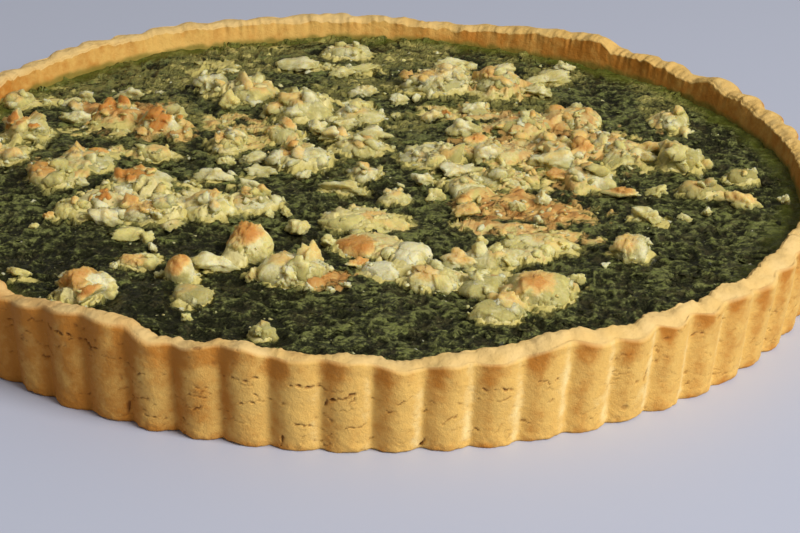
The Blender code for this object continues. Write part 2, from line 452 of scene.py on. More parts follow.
class CaseSection:
    """The cross-section of the case at every angle: a closed loop of stations that runs up the outside,
    over the rim, down the inside and back under the base."""

    def __init__(self, columns):
        self.angle = FIRST_GROOVE + np.arange(columns) * 2 * math.pi / columns
        groove, soft = self._grooves()
        inner, inner_top, outer_top, outer_round = self._rim()
        inner_round = 0.6
        wall_top = outer_top - outer_round
        edge = RIM_RADIUS - soft - outer_round
        self.blocks = []
        self._arc(6, FOOT_RADIUS - groove - FOOT_BEVEL, 0 * groove + FOOT_BEVEL, FOOT_BEVEL, -90, 0, "foot")
        self._wall(78, FOOT_RADIUS - groove, RIM_RADIUS - groove, soft - groove, FOOT_BEVEL, wall_top)
        self._arc(8, edge, wall_top, outer_round, 0, 90, "edge")
        self._top(16, edge, inner + inner_round, outer_top, inner_top)
        self._arc(6, inner + inner_round, inner_top - inner_round, inner_round, 90, 180, "inner_edge")
        self._inside(24, inner, inner_top - inner_round)
        self._under()
        self.radius, self.height, self.out, self.up = (
            np.concatenate([block[i] for block in self.blocks], axis=1) for i in range(4)
        )
        self.parts = {}
        start = 0
        for block in self.blocks:
            width = block[0].shape[1]
            self.parts[block[4]] = slice(start, start + width)
            start += width

    def _grooves(self):
        """How deep the grooves are at every angle, rounded at their bottoms, and the softer line that they run
        out in at the top of the wall."""
        lobe = np.floor((self.angle - FIRST_GROOVE) * FLUTES / (2 * math.pi) + 1e-6)
        depth = FLUTE_DEPTH * (0.9 + 0.22 * chance(lobe, lobe * 0, lobe * 0, 5))
        groove = depth * (1 - flute(self.angle))
        spread = max(1, len(groove) // (20 * FLUTES))
        for _ in range(2):
            groove = blur(groove, spread)
        soft = np.max([np.roll(groove, shift) for shift in range(-spread, spread + 1)], axis=0)
        for _ in range(3):
            soft = blur(soft, 2 * spread)
        return groove, soft

    def _rim(self):
        """The uneven rim at every angle: its inner radius, how high its inner and its outer edge are, and how
        far its outer edge is rounded."""
        angle = self.angle
        top = RIM_HEIGHT + rim_swell(angle)
        top += 0.35 * ring_noise(angle, TOP_RING, 9, 1) + 0.22 * ring_noise(angle, TOP_RING, 3.5, 2)
        nick = np.maximum(ring_noise(angle, INNER_RING, 2.2, 4), 0) ** 2
        inner = RIM_INNER_RADIUS + 0.15 * flute(angle) + 0.6 * ring_noise(angle, INNER_RING, 7, 3) + 0.9 * nick
        inner += 0.3 * ring_noise(angle, INNER_RING, 1.3, 7)
        lips = 0.45 * ring_noise(angle, INNER_RING, 4.0, 9) + 0.35 * ring_noise(angle, INNER_RING, 1.7, 10)
        lips += 0.2 * ring_noise(angle, INNER_RING, 0.9, 11)
        outer_round = 0.85 + 0.25 * ring_noise(angle, OUTER_RING, 7, 6)
        degrees = np.degrees(np.arctan2(np.sin(angle), np.cos(angle)))
        begins, full, wanes, ends = PRESSED
        pressed = step(begins, full, degrees) * (1 - step(wanes, ends, degrees))
        return inner, top - RIM_FALL + lips, top - 0.3 - PRESSED_DROP * pressed, outer_round

    def _add(self, name, radius, height, out, up):
        """Adds a named stretch of stations: where they are, and which way the surface faces there."""
        shape = np.broadcast_shapes(radius.shape, height.shape)
        whole = (np.broadcast_to(values, shape) for values in (radius, height, out, up))
        self.blocks.append((*whole, name))

    def _arc(self, count, middle, level, size, start, end, name):
        """A rounded edge: an arc of radius size about (middle, level), from start to end in degrees."""
        count = max(3, round(count * FINENESS))
        turn = np.radians(np.linspace(start, end, count, endpoint=False))[None, :]
        size = np.broadcast_to(size, middle.shape)[:, None]
        radius = middle[:, None] + size * np.cos(turn)
        height = level[:, None] + size * np.sin(turn)
        self._add(name, radius, height, np.cos(turn), np.sin(turn))

    def _wall(self, count, foot, rim, softening, low, high):
        """The outside: a straight line from the foot to the rim, drawn in near the top by softening."""
        part = np.linspace(0, 1, round(count * FINENESS), endpoint=False)[None, :]
        radius = foot[:, None] + (rim - foot)[:, None] * part - softening[:, None] * step(0.72, 1.0, part)
        height = low + (high - low)[:, None] * part
        self._add("wall", radius, height, np.ones_like(part), 0.0 * part)

    def _top(self, count, outer, inner, outer_height, inner_height):
        """The top of the rim: a line from its outer to its inner edge with half a sine wave on it."""
        part = np.linspace(0, 1, round(count * FINENESS), endpoint=False)[None, :]
        radius = outer[:, None] + (inner - outer)[:, None] * part
        height = outer_height[:, None] + (inner_height - outer_height)[:, None] * part
        height = height + 0.5 * np.sin(part * math.pi)
        self._add("top", radius, height, 0.0 * part, np.ones_like(part))

    def _inside(self, count, rim, high):
        """The inside: a line down to below the filling's edge, along which the rim's unevenness dies out."""
        low = FILLING_EDGE - 4
        part = np.linspace(0, 1, round(count * FINENESS), endpoint=False)[None, :]
        calm = rim.mean()
        radius = calm + (FILLING_RADIUS - 1 - calm) * part + (rim - calm)[:, None] * (1 - part) ** 3
        height = high[:, None] + (low - high)[:, None] * part
        self._add("inside", radius, height, -np.ones_like(part), 0.0 * part)

    def _under(self):
        """The way back below the filling, which only the base's edge shows."""
        still = np.zeros((1, 4))
        radius = np.array([[BASE_RADIUS, BASE_RADIUS - 2, BASE_RADIUS - 2, BASE_RADIUS]])
        height = np.array([[BASE_THICKNESS, BASE_THICKNESS, 0.0, 0.0]])
        radius = radius + 0 * self.angle[:, None]
        self._add("under", radius, height + 0 * radius, still, still)

    def points(self, push=0.0):
        """Points of the loop, each pushed out of the surface by push."""
        radius = self.radius + push * self.out
        height = self.height + push * self.up
        angle = self.angle[:, None]
        return np.stack([radius * np.cos(angle), radius * np.sin(angle), height], axis=-1)


def split_lines(draw):
    """Every split of the wall: those of WALL_SPLITS and many small ones at random, as zigzag lines of points
    (arc length, height, depth) with a width."""
    lines = []
    rows = list(WALL_SPLITS)
    for _ in range(SMALL_SPLITS):
        level = draw.choice([draw.normal(17, 3.0), draw.normal(6, 3.0), draw.uniform(2, 24)])
        length = 1.2 + 4.5 * draw.random() ** 2
        middle = draw.uniform(-180, 180)
        slope = draw.normal(0, 0.3) * length
        rows.append((middle, level, length, slope, draw.uniform(0.25, 0.65)))
    for middle, level, length, slope, depth in rows:
        count = max(4, round(length / 0.7) + 1)
        part = np.linspace(-0.5, 0.5, count)
        x = math.radians(middle) * SPLIT_RADIUS + part * length + draw.normal(0, 0.15, count)
        z = level + part * slope + draw.normal(0, 0.3, count) + np.cumsum(draw.normal(0, 0.16, count))
        deep = 0.85 * depth * np.maximum(draw.uniform(-0.3, 1.15, count), 0)
        lines.append((np.stack([x, z, deep], axis=1), draw.uniform(0.26, 0.42) + 0.12 * (depth > 1)))
    return lines


def carve_splits(section, lines):
    """How deep the splits cut over the wall. Each falls off smoothly from its line, over its width and more
    where it is deep; where two meet, the deeper counts."""
    wall = section.parts["wall"]
    height = section.height[:, wall]
    carved = np.zeros_like(height)
    columns = len(section.angle)
    pitch = 2 * math.pi * SPLIT_RADIUS / columns
    origin = FIRST_GROOVE * SPLIT_RADIUS
    for line, width in lines:
        first = math.floor((line[:, 0].min() - 1 - origin) / pitch)
        last = math.ceil((line[:, 0].max() + 1 - origin) / pitch)
        index = np.arange(first, last + 1)
        x = (origin + index * pitch)[:, None]
        z = height[index % columns]
        cut = np.zeros(z.shape)
        for (ax, az, a_deep), (bx, bz, b_deep) in zip(line[:-1], line[1:]):
            run = (bx - ax) ** 2 + (bz - az) ** 2
            part = np.clip(((x - ax) * (bx - ax) + (z - az) * (bz - az)) / run, 0, 1)
            gap = np.hypot(x - ax - part * (bx - ax), z - az - part * (bz - az))
            deep = a_deep + part * (b_deep - a_deep)
            cut = np.maximum(cut, deep * (1 - step(0.0, 1.0, gap / (width * (0.6 + 0.6 * deep)))))
        carved[index % columns] = np.maximum(carved[index % columns], cut)
    return carved


def make_case(finish):
    """The case in four quarters that meet in grooves, each a closed body. Its unevenness is a push out of or
    into the section at each point, in mm."""
    columns = FLUTES * round(GROOVE_COLUMNS * FINENESS)
    section = CaseSection(columns)
    draw = np.random.default_rng(7)
    still = section.points()
    wall = section.parts["wall"]
    outside = slice(0, section.parts["top"].stop)
    shown = slice(0, section.parts["under"].start)
    push = np.zeros(section.radius.shape)
    split = np.zeros_like(push)
    split[:, wall] = carve_splits(section, split_lines(draw))
    # broad, middling and fine unevenness, small pits outside, a rough foot, and the splits
    near = still[:, shown]
    push[:, shown] += 0.30 * noise(near, 8.0, 20) + 0.10 * rough(near, 3.2, 3, 21) + 0.05 * noise(near, 0.9, 22)
    border, luck, _ = cells(near, 2.7, 30)
    pits = (luck < 0.16) * step(0.5, 0.7, border)
    foot_rough = 1 - step(2.0, 6.0, section.height[:, shown])
    push[:, shown] -= 0.4 * pits * (section.out[:, shown] > 0.5)
    push[:, shown] += foot_rough * 0.22 * rough(near, 1.6, 2, 40) * (section.out[:, shown] > 0.3)
    push -= split
    # the rim's pastry rolled slightly over its outer edge
    lip = 1 - step(2.0, 4.5, section.height[:, section.parts["top"]].max(axis=1)[:, None] - section.height)
    rolled = 0.4 + 0.6 * ring_noise(section.angle, OUTER_RING, 14, 8)[:, None]
    push[:, outside] += (0.35 * lip * rolled)[:, outside]
    top = section.parts["top"]
    push[:, top] += 0.35 * rough(still[:, top], 3.6, 2, 41)
    points = section.points(push)
    points[..., 2] = np.maximum(points[..., 2], 0.0)
    values = case_values(section, still, split, pits)
    normals = grid_normals(points, close_rows=True, close_columns=True)
    stations = points.shape[1]
    for quarter in range(4):
        rows = np.arange(quarter * columns // 4, (quarter + 1) * columns // 4 + 1) % columns
        count = len(rows)
        ends = np.stack([np.arange(stations), (count - 1) * stations + np.arange(stations)[::-1]])
        make_piece(
            f"crust_quarter_{quarter + 1}",
            points[rows].reshape(-1, 3),
            [grid_faces(count, stations, close_columns=True), ends],
            finish,
            replaces=["crust"],
            values={key: layer[rows] for key, layer in values.items()},
            normals=normals[rows],
        )


def make_base(finish):
    """The flat bottom of the case inside its wall: a disc with a round edge, closed at both middles."""
    count = 132
    angle = np.linspace(0, 2 * math.pi, count, endpoint=False)
    radius = np.array([BASE_RADIUS - 2, BASE_RADIUS - 2])[:, None]
    height = np.array([0.0, BASE_THICKNESS])[:, None]
    rings = np.stack([radius * np.cos(angle), radius * np.sin(angle), height + 0 * angle], axis=-1)
    middles = np.array([[0, 0, 0], [0, 0, BASE_THICKNESS]])
    index = np.arange(count)
    after = (index + 1) % count
    wall = np.stack([index, after, count + after, count + index], axis=-1)
    under = np.stack([after, index, np.full(count, 2 * count)], axis=-1)
    upper = np.stack([count + index, count + after, np.full(count, 2 * count + 1)], axis=-1)
    points = np.concatenate([rings.reshape(-1, 3), middles])
    piece = make_piece("crust_base", points, [wall, under, upper], finish, replaces=["crust"])
    piece.data.shade_flat()


def once_a_flute(across, middle, width):
    """A bell-shaped bump that comes once in every flute, where across goes from 0 to 1 over the flute."""
    return np.exp(-(((across - middle) / width) ** 2)) + np.exp(-(((across - 1 - middle) / width) ** 2))


def case_values(section, still, split, pits):
    """What the crust's finish reads: how brown and how shaded, how much it is the top of the rim, how stained and
    how split.
    The wall is browned just below the rim, and this browning leans to the shaded side of each flute as painted
    shade.
    Painted shade also darkens that side of each flute and the side of the case turned away from the lamp, outside
    and inside, and a painted highlight makes the other side of each flute pale."""
    shape = section.radius.shape
    angle = section.angle[:, None]
    turn = (angle - FIRST_GROOVE) * FLUTES / (2 * math.pi)
    across = turn - np.floor(turn)
    # painted shade: how far each angle faces the side turned away from the lamp; the shaded side of each flute
    # moves with it
    facing_shade = np.cos(angle - math.radians(SHADE_OUTSIDE))
    turned = step(0.1, 0.8, facing_shade)
    middle = 0.26 - 0.2 * turned
    top = section.height[:, section.parts["top"]].max(axis=1)[:, None]
    below_rim = top - section.height
    outer = section.out > 0.3
    tone_and_shade = 0.15 * rough(still, 14, 2, 60) + 0.2 * rough(still, 4, 2, 63)
    # real browning below the rim, leaning towards the painted shade of each flute
    browning_and_shade = np.exp(-(((below_rim - 2.2) / 4.8) ** 2)) * (0.3 + 0.7 * once_a_flute(across, middle, 0.25))
    # painted shade on one side of each flute, painted highlight on the other
    shade_side = once_a_flute(across, middle, 0.2)
    lit_side = once_a_flute(across, -0.1, 0.13)
    tone_and_shade = tone_and_shade + outer * (0.68 * browning_and_shade + 0.38 * shade_side - 0.55 * (1 - turned) * lit_side)
    tone_and_shade = tone_and_shade + outer * 0.3 * (1 - step(0, 3, section.height))
    # painted shade over the outside of the case turned away from the lamp
    tone_and_shade = tone_and_shade + 0.75 * step(0.2, 1.0, facing_shade)
    inside = section.parts["inside"]
    # painted shade on the inside wall turned away from the lamp; the whole inside is also made browner
    shade_inside = step(0.4, 0.9, np.cos(angle - math.radians(SHADE_INSIDE)))
    tone_and_shade[:, inside] += 0.25 + 0.5 * shade_inside
    rim_top = np.zeros(shape)
    edge = section.parts["edge"]
    rim_top[:, edge] = np.linspace(0, 1, edge.stop - edge.start)
    rim_top[:, section.parts["top"]] = 1
    rim_top[:, section.parts["inner_edge"]] = 0.8
    # the rim's pale top is dulled by painted shade on that side
    rim_top *= (0.75 + 0.3 * noise(still, 5, 61)) * (1 - 0.6 * shade_inside)
    stain = np.zeros(shape)
    level = section.height[:, inside] - FILLING_EDGE
    stain[:, inside] = 1 - step(0.3, 2.2, level + 0.8 * noise(still[:, inside], 3, 62))
    # painted shade: the splits are darker the deeper they cut, and the pits are darkened too
    dark = np.clip(split * 2.0, 0, 1)
    shown = pits.shape[1]
    dark[:, :shown] += 0.55 * pits * outer[:, :shown]
    return {
        "tone_and_shade": tone_and_shade,
        "rim_top": np.clip(rim_top, 0, 1),
        "stain": stain,
        "split": np.clip(dark, 0, 1),
    }


# ---------------------------------------------------------------- the filling

# Where egg and cheese melted over the spinach, beside what lies under the lumps: middle, length and width in
# mm, turn in degrees, how much there is and how browned it is, both from 0 to 1.
MELTED = (
    (-20, 101, 24, 13, 0, 0.55, 0.0),
    (-3, 97, 24, 11, 0, 0.40, 0.0),
    (-50, 94, 20, 20, 0, 0.45, 0.1),
    (-49, 78, 12, 24, 0, 0.60, 0.1),
    (-38, 70, 20, 14, 0, 0.75, 0.2),
    (-21, 60, 20, 22, 0, 0.75, 0.0),
    (-2, 60, 12, 16, 0, 0.60, 0.0),
    (-76, 52, 34, 22, -10, 0.75, 0.9),
    (-82, 36, 28, 14, 0, 0.50, 0.2),
    (-62, 36, 20, 16, 0, 0.60, 0.6),
    (-44, 42, 18, 18, 0, 0.55, 0.3),
    (-42, 27, 16, 20, 0, 0.60, 0.2),
    (-32, 33, 24, 28, 0, 0.65, 0.4),
    (-103, 62, 18, 10, 30, 0.50, 0.2),
    (-106, 24, 14, 22, 0, 0.65, 0.1),
    (-92, 4, 18, 22, 30, 0.60, 0.3),
    (-77, 14, 26, 14, 0, 0.65, 0.3),
    (-19, 9, 26, 15, 0, 0.75, 0.1),
    (-1, 25, 14, 14, 0, 0.75, 0.2),
    (-5, -12, 16, 8, 0, 0.65, 0.1),
    (-60, -24, 52, 26, 0, 0.90, 0.2),
    (-78, -31, 24, 13, 20, 0.75, 0.1),
    (30, 88, 30, 20, 0, 0.75, 0.2),
    (49, 80, 22, 22, 0, 0.75, 0.6),
    (62, 88, 18, 12, 0, 0.50, 0.1),
    (36, 56, 36, 16, -10, 0.70, 0.4),
    (52, 46, 30, 20, 0, 0.85, 0.6),
    (67, 45, 24, 24, 0, 0.80, 0.5),
    (24, 13, 18, 20, 0, 0.70, 0.0),
    (43, 24, 32, 30, 0, 0.90, 0.5),
    (60, 20, 30, 40, 0, 0.90, 0.5),
    (76, 28, 26, 28, 0, 0.85, 0.5),
    (80, 10, 20, 16, -20, 0.60, 0.2),
    (97, 14, 16, 16, 0, 0.60, 0.1),
    (98, 48, 12, 18, 0, 0.55, 0.3),
    (40, -2, 34, 20, -10, 0.85, 0.3),
    (62, -3, 24, 18, 0, 0.65, 0.4),
    (33, -12, 14, 18, 0, 0.65, 0.2),
    (103, -9, 18, 9, -10, 0.60, 0.3),
    (50, -25, 42, 22, -10, 0.60, 0.8),
    (45, -40, 46, 11, -18, 0.75, 0.5),
    (34, -27, 18, 14, 0, 0.60, 0.5),
    (84, -31, 12, 9, 0, 0.50, 0.1),
    (1, -34, 26, 13, 0, 0.70, 0.2),
    (5, -53, 26, 16, -30, 0.75, 0.3),
    (9, -68, 18, 12, 0, 0.75, 0.1),
    (22, -74, 22, 16, 20, 0.75, 0.2),
    (42, -61, 28, 9, 8, 0.80, 0.3),
    (45, -82, 28, 21, 10, 0.90, 0.4),
    (35, -96, 18, 12, 10, 0.70, 0.1),
    (-9, -75, 20, 12, 0, 0.55, 1.0),
    (-5, 33, 30, 12, 0, 0.60, 0.2),
    (38, 98, 30, 14, 0, 0.50, 0.2),
    (-42, -5, 24, 12, 0, 0.50, 0.1),
    (34, -71, 16, 10, 0, 0.60, 0.0),
    (-21, -71, 20, 15, 10, 0.75, 0.1),
    (-39, -67, 18, 11, 0, 0.80, 0.1),
    (-48, -74, 11, 15, 0, 0.60, 0.1),
    (-46, -90, 13, 12, -30, 0.55, 0.0),
    (-61, -65, 14, 9, 0, 0.45, 0.1),
    (-76, -86, 18, 15, 10, 0.60, 0.1),
    (-93, -78, 15, 5, 0, 0.45, 0.0),
)

# A heap of dark leaves near the front edge: x, y, how far it spreads and how high it is, mm.
MOUND = (-62, -93, 9, 2.2)


def bed_height(x, y):
    """Height of the filling before its leaves: it rises a little to the middle, in low waves."""
    dome = FILLING_DOME * (1 - (x**2 + y**2) / FILLING_RADIUS**2)
    return FILLING_EDGE + dome + FILLING_WAVE * np.sin(x / 17 + 0.6) * np.cos(y / 21 - 0.4)


def melt(x, y):
    """How creamy and how browned the filling is at each place, and how high the cheese has run up against
    the lumps: ovals with frayed edges, the strongest one counting, and a thin olive film over the far side that
    is painted sheen."""
    spot = np.stack([x, y, 0 * x], axis=-1)
    bays = 0.26 * noise(spot, 7, 70)
    fray = bays + 0.20 * noise(spot, 2.6, 71) + 0.14 * noise(spot, 1.1, 72)
    far_sheen = step(-30, 75, y - 0.4 * np.maximum(x - 10, 0)) * step(-0.7, 0.6, noise(spot, 12, 73))
    holes = step(0.12, 0.5, noise(spot, 5.5, 74) + 0.5 * noise(spot, 2.4, 75))
    # painted sheen: the far side starts a little creamy
    cream_and_sheen, burnt, skirt = 0.3 * far_sheen, np.zeros_like(x), np.zeros_like(x)
    for middle_x, middle_y, length, width, turn, amount, brown in MELTED:
        c, s = math.cos(math.radians(turn)), math.sin(math.radians(turn))
        along = ((x - middle_x) * c + (y - middle_y) * s) / (length / 2)
        over = ((y - middle_y) * c - (x - middle_x) * s) / (width / 2)
        share = 1 - step(0.65, 1.05 + 0.25 * step(-70, -20, middle_y), np.hypot(along, over) + fray)
        cream_and_sheen = np.maximum(cream_and_sheen, min(1.0, 1.2 * amount) * share * (1 - 0.9 * holes))
        burnt = np.maximum(burnt, share * brown)
    cluster = step(0.4, 0.9, cream_and_sheen)
    for number, (low, high) in enumerate(LUMP_BOXES, 1):
        middle, half = (low + high) / 2, (high - low) / 2
        spread = max(0.45 * flow_of(number), 0.3 * step(-60, 20, low[1]))
        away = np.hypot((x - middle[0]) / half[0], (y - middle[1]) / half[1])
        cream_and_sheen = np.maximum(cream_and_sheen, 0.9 * (1 - step(0.8, 1.25 + spread, away + 0.7 * fray)))
        height = 2 * half[2] * (0.2 + 0.3 * cluster + 0.3 * spread)
        skirt = np.maximum(skirt, height * (1 - step(0.6, 1.15 + 0.6 * cluster + spread, away + bays)))
    return cream_and_sheen, burnt, skirt


def flow_of(number):
    """How far a lump ran out as it melted, from 0 to 1: those far from the viewer most."""
    return step(-110, -20, LUMP_BOXES[number - 1][0][1]) if number in FLOWED else 0.0


def chopped(x, y, pitch, length, width, salt):
    """Chopped leaves thrown on a square lattice, one in each square, thin ovals bent and turned at random.
    It gives the height of the uppermost at each place, in mm, and its random number."""
    column, row = np.floor(x / pitch).astype(np.int64), np.floor(y / pitch).astype(np.int64)
    best, own = np.full(x.shape, -1.0), np.zeros(x.shape)
    still = np.zeros_like(column)
    for i in range(-2, 3):
        for j in range(-2, 3):
            cell_x, cell_y = column + i, row + j
            luck = [chance(cell_x, cell_y, still + k, salt) for k in range(7)]
            away_x = x - (cell_x + luck[0]) * pitch
            away_y = y - (cell_y + luck[1]) * pitch
            turn = 2 * math.pi * luck[2]
            along = away_x * np.cos(turn) + away_y * np.sin(turn)
            over = away_y * np.cos(turn) - away_x * np.sin(turn)
            over = over + (luck[3] - 0.5) * along**2 / length
            part = along / (length * (0.3 + 0.3 * luck[4]))
            across = over / (width * (0.3 + 0.4 * luck[5]))
            away = part**2 + across**2
            tilt = 0.25 * part * (luck[3] - 0.4)
            roll = 0.2 * across * (luck[4] - 0.5)
            height = 0.9 * luck[6] + tilt + roll - 0.45 * away**2
            height = np.where(away < 1, height, -1.0)
            wins = height > best
            own = np.where(wins, luck[5], own)
            best = np.where(wins, height, best)
    return best, own


def filling_top(x, y):
    """Height of the dressed filling and what its finish reads. Leaves lie in soft wet folds; where it is
    creamy they drown in melted cheese and curds; along the wall it is smooth and oily. The heights of two sizes
    of leaves, of folds and of ripples are added up, and the creamy share swaps them for the curds'."""
    spot = np.stack([x, y, 0 * x], axis=-1)
    broad, broad_own = chopped(x, y, 3.2, 6.0, 3.6, 80)
    fine, fine_own = chopped(x + 2, y - 3, 1.6, 3.0, 1.6, 81)
    swell = 0.6 * rough(spot, 13, 2, 82)
    folds = 1 - 2 * np.abs(rough(spot, 5.5, 2, 88))
    ripples = 1 - 2 * np.abs(noise(spot + 40, 2.2, 89))
    upper = 0.7 * fine + 0.2 > broad
    leaf = np.where(upper, fine_own, broad_own)
    relief = np.maximum(np.maximum(0.7 * fine + 0.2, broad), -0.7 + 0.3 * noise(spot, 1.5, 83))
    relief = 0.4 * relief + 0.75 * folds + 0.35 * ripples
    cream_and_sheen, burnt, skirt = melt(x, y)
    heaped = np.stack([x, y, skirt], axis=-1)
    border, own, plane = cells(heaped, 3.4, 84)
    fine_border, luck, fine_plane = cells(heaped, 1.5, 85)
    curds = 0.7 * (own - 0.35) + 0.8 * plane + 0.6 * noise(spot, 6, 86) + 0.2 * luck + 0.3 * fine_plane
    cream_and_sheen = cream_and_sheen + (0.30 * (own - 0.5) + 0.15 * (luck - 0.5)) * step(0.05, 0.2, cream_and_sheen)
    share = step(0.22, 0.42, cream_and_sheen)
    edge = step(123, 130, np.hypot(x, y) + 2.5 * noise(spot, 9, 87))
    height = swell * (1 - 0.5 * share) + relief * (1 - share) * (1 - 0.6 * edge)
    height = height + share * (0.5 + curds * (1 - 0.6 * step(0.3, 2.0, skirt))) + 0.5 * edge + skirt
    mound_x, mound_y, spread, rise = MOUND
    mound = np.exp(-(((x - mound_x) / spread) ** 2) - ((y - mound_y) / spread) ** 2)
    height = height + rise * mound
    # painted shade: leaves are darker at the front left; they are also darker on the mound
    dim = (1 - step(-60, 20, x)) * (1 - step(-80, -20, y)) + 1.2 * mound
    gap = np.maximum(1 - step(0.0, 0.12, border), 0.4 - 0.4 * step(0.0, 0.2, fine_border))
    values = {
        # leaf brightness also follows the folds and ripples, painted shade in their troughs, and takes the
        # painted shade of dim
        "leaf": 0.5 * leaf + 0.3 * folds + 0.15 * ripples + 0.13 - 0.33 * dim,
        # painted shade in the gaps between curds
        "deep": share * gap * 0.3,
        "cream_and_sheen": cream_and_sheen,
        "burnt": burnt + (0.5 * (own - 0.5) + 0.4 * (luck - 0.5)) * step(0.05, 0.3, burnt),
        "oily": edge,
        "hollow_shade": 0 * x,
    }
    return bed_height(x, y) + height - 0.5, values


def filling_finish():
    """Wet chopped spinach set in egg: dark green leaves, some lighter, with painted shade making them near black
    in hollows and between them, painted sheen as grey patches and painted highlights as pale glints; cream to
    olive where cheese melted over it, browned here and there; an oily yellow-green line along the wall."""
    paint = Paint(
        "spinach_filling",
        Specular_IOR_Level=0.36,
        Specular_Tint=(1.0, 1.0, 0.45, 1.0),
        Coat_Weight=0.05,
        Coat_Roughness=0.1,
        Subsurface_Weight=0.12,
        Subsurface_Radius=(1.0, 0.85, 0.35),
        Subsurface_Scale=0.0015,
    )
    fibres = paint.noise(1300, 4.0, 0.65)
    streaks = paint.noise(700, 3.0, 0.6, 1.8)
    blots = paint.noise(330, 4.0, 0.65)
    patches = paint.noise(130, 3.0)
    curdle = paint.noise(700, 3.0, 0.6)
    broad = paint.noise(45, 3.0)
    bright = paint.point("leaf") + (streaks - 0.5) * 1.9 + (broad - 0.5) * 1.3 + (blots - 0.5) * 1.5
    bright = bright + (patches - 0.5) * 1.1 + (fibres - 0.5) * 2.2 - paint.point("hollow_shade") * 0.9
    # the leaves' brightness ramp: its near black low end, reached in hollows, is painted shade; its grey-olive
    # top end is partly lighter leaves and partly painted sheen
    colour = paint.mix(bright.between(0.05, 0.6), srgb(6, 8, 2), srgb(50, 54, 24))
    colour = paint.mix(bright.between(0.45, 1.05), colour, srgb(116, 118, 68))
    colour = paint.mix((bright + blots * 2.0).between(1.85, 2.5) * 0.4, colour, srgb(108, 122, 48))
    # painted reflection: grey patches of wet sheen
    colour = paint.mix((curdle - patches).between(0.04, 0.24) * 0.45, colour, srgb(80, 72, 46))
    # painted highlight: pale glints along the streaks and fibres
    colour = paint.mix((streaks + fibres).between(1.16, 1.32) * 0.7, colour, srgb(152, 152, 98))
    # painted shade: the melted cheese is darker in the gaps between curds
    cream_and_sheen = paint.point("cream_and_sheen") + (curdle - 0.5) * 0.4 - paint.point("deep") * 0.2
    colour = paint.mix(cream_and_sheen.between(0.10, 0.32) * 0.85, colour, srgb(148, 142, 78))
    colour = paint.mix(cream_and_sheen.between(0.26, 0.60), colour, srgb(202, 186, 110))
    colour = paint.mix((cream_and_sheen + (fibres - 0.5) * 0.8).between(0.60, 1.05), colour, srgb(226, 212, 150))
    burnt = paint.point("burnt") + (patches - 0.5) * 0.6 + (curdle - 0.5) * 0.4
    colour = paint.mix(burnt.between(0.2, 0.6) * 0.75, colour, srgb(212, 168, 98))
    colour = paint.mix(burnt.between(0.5, 1.0) * 0.8, colour, srgb(184, 124, 62))
    colour = paint.mix(paint.point("oily") * 0.6, colour, srgb(104, 112, 34))
    roughness = 0.45 + (fibres - 0.5) * 0.8
    leafy = 1.0 - cream_and_sheen.between(0.2, 0.45)
    relief = (fibres * 0.7 + curdle * 0.6) * (leafy * 0.6 + 0.4) + (streaks * 0.9 + blots * 1.4) * leafy
    return paint.finish(colour, roughness, relief, 0.001)


def square_to_disc(u, v):
    """Places on the unit disc for places from -1 to 1 on a square, which keeps areas even: rings of the square
    become circles."""
    wide = np.abs(u) > np.abs(v)
    radius = np.where(wide, u, v)
    safe = np.where(radius == 0, 1, radius)
    turn = np.where(wide, v / safe * math.pi / 4, math.pi / 2 - u / safe * math.pi / 4)
    return radius * np.cos(turn), radius * np.sin(turn)


def make_filling(finish):
    """The filling in four quarter slabs. Each has a detailed top, straight sides and a flat bottom."""
    count = 2 * round(122 * FINENESS) + 1
    radius = RIM_INNER_RADIUS + 0.4
    side = np.linspace(-1, 1, 2 * count - 1)
    u, v = np.meshgrid(side, side - 0.15 * (1 - side**2), indexing="ij")  # finer towards the viewer
    x, y = square_to_disc(u, v)
    x, y = x * radius, y * radius
    z, values = filling_top(x, y)
    # painted shade: leaves are darkened in hollows, places that lie below the average of their surroundings
    around = z
    for _ in range(round(12 * FINENESS)):
        total = around + np.roll(around, 1, 0) + np.roll(around, -1, 0)
        around = (total + np.roll(around, 1, 1) + np.roll(around, -1, 1)) / 5
    values["hollow_shade"] = np.clip((around - z) / 0.55, 0, 1) * (1 - step(0.2, 0.5, values["cream_and_sheen"]))
    grid = np.stack([x, y, z], axis=-1)
    normals = grid_normals(grid)
    bottom = BASE_THICKNESS + 1.0
    for quarter, halves in enumerate(((0, 0), (1, 0), (1, 1), (0, 1))):
        block = tuple(slice(half * (count - 1), half * (count - 1) + count) for half in halves)
        top = grid[block].reshape(-1, 3)
        index = np.arange(count * count).reshape(count, count)
        rim = np.concatenate([index[:-1, 0], index[-1, :-1], index[:0:-1, -1], index[0, :0:-1]])
        foot = len(top) + np.arange(len(rim))
        under = top[rim] * (1, 1, 0) + (0, 0, bottom)
        sides = np.stack([rim, foot, np.roll(foot, -1), np.roll(rim, -1)], axis=-1)
        layers = {key: np.append(layer[block], np.zeros(len(rim))) for key, layer in values.items()}
        down = np.tile([0.0, 0.0, -1.0], (len(rim), 1))
        make_piece(
            f"filling_quarter_{quarter + 1}",
            np.concatenate([top, under]),
            [grid_faces(count, count), sides, foot[::-1][None, :]],
            finish,
            replaces=["filling"],
            values=layers,
            normals=np.concatenate([normals[block].reshape(-1, 3), down]),
        )


# ---------------------------------------------------------------- the cheese

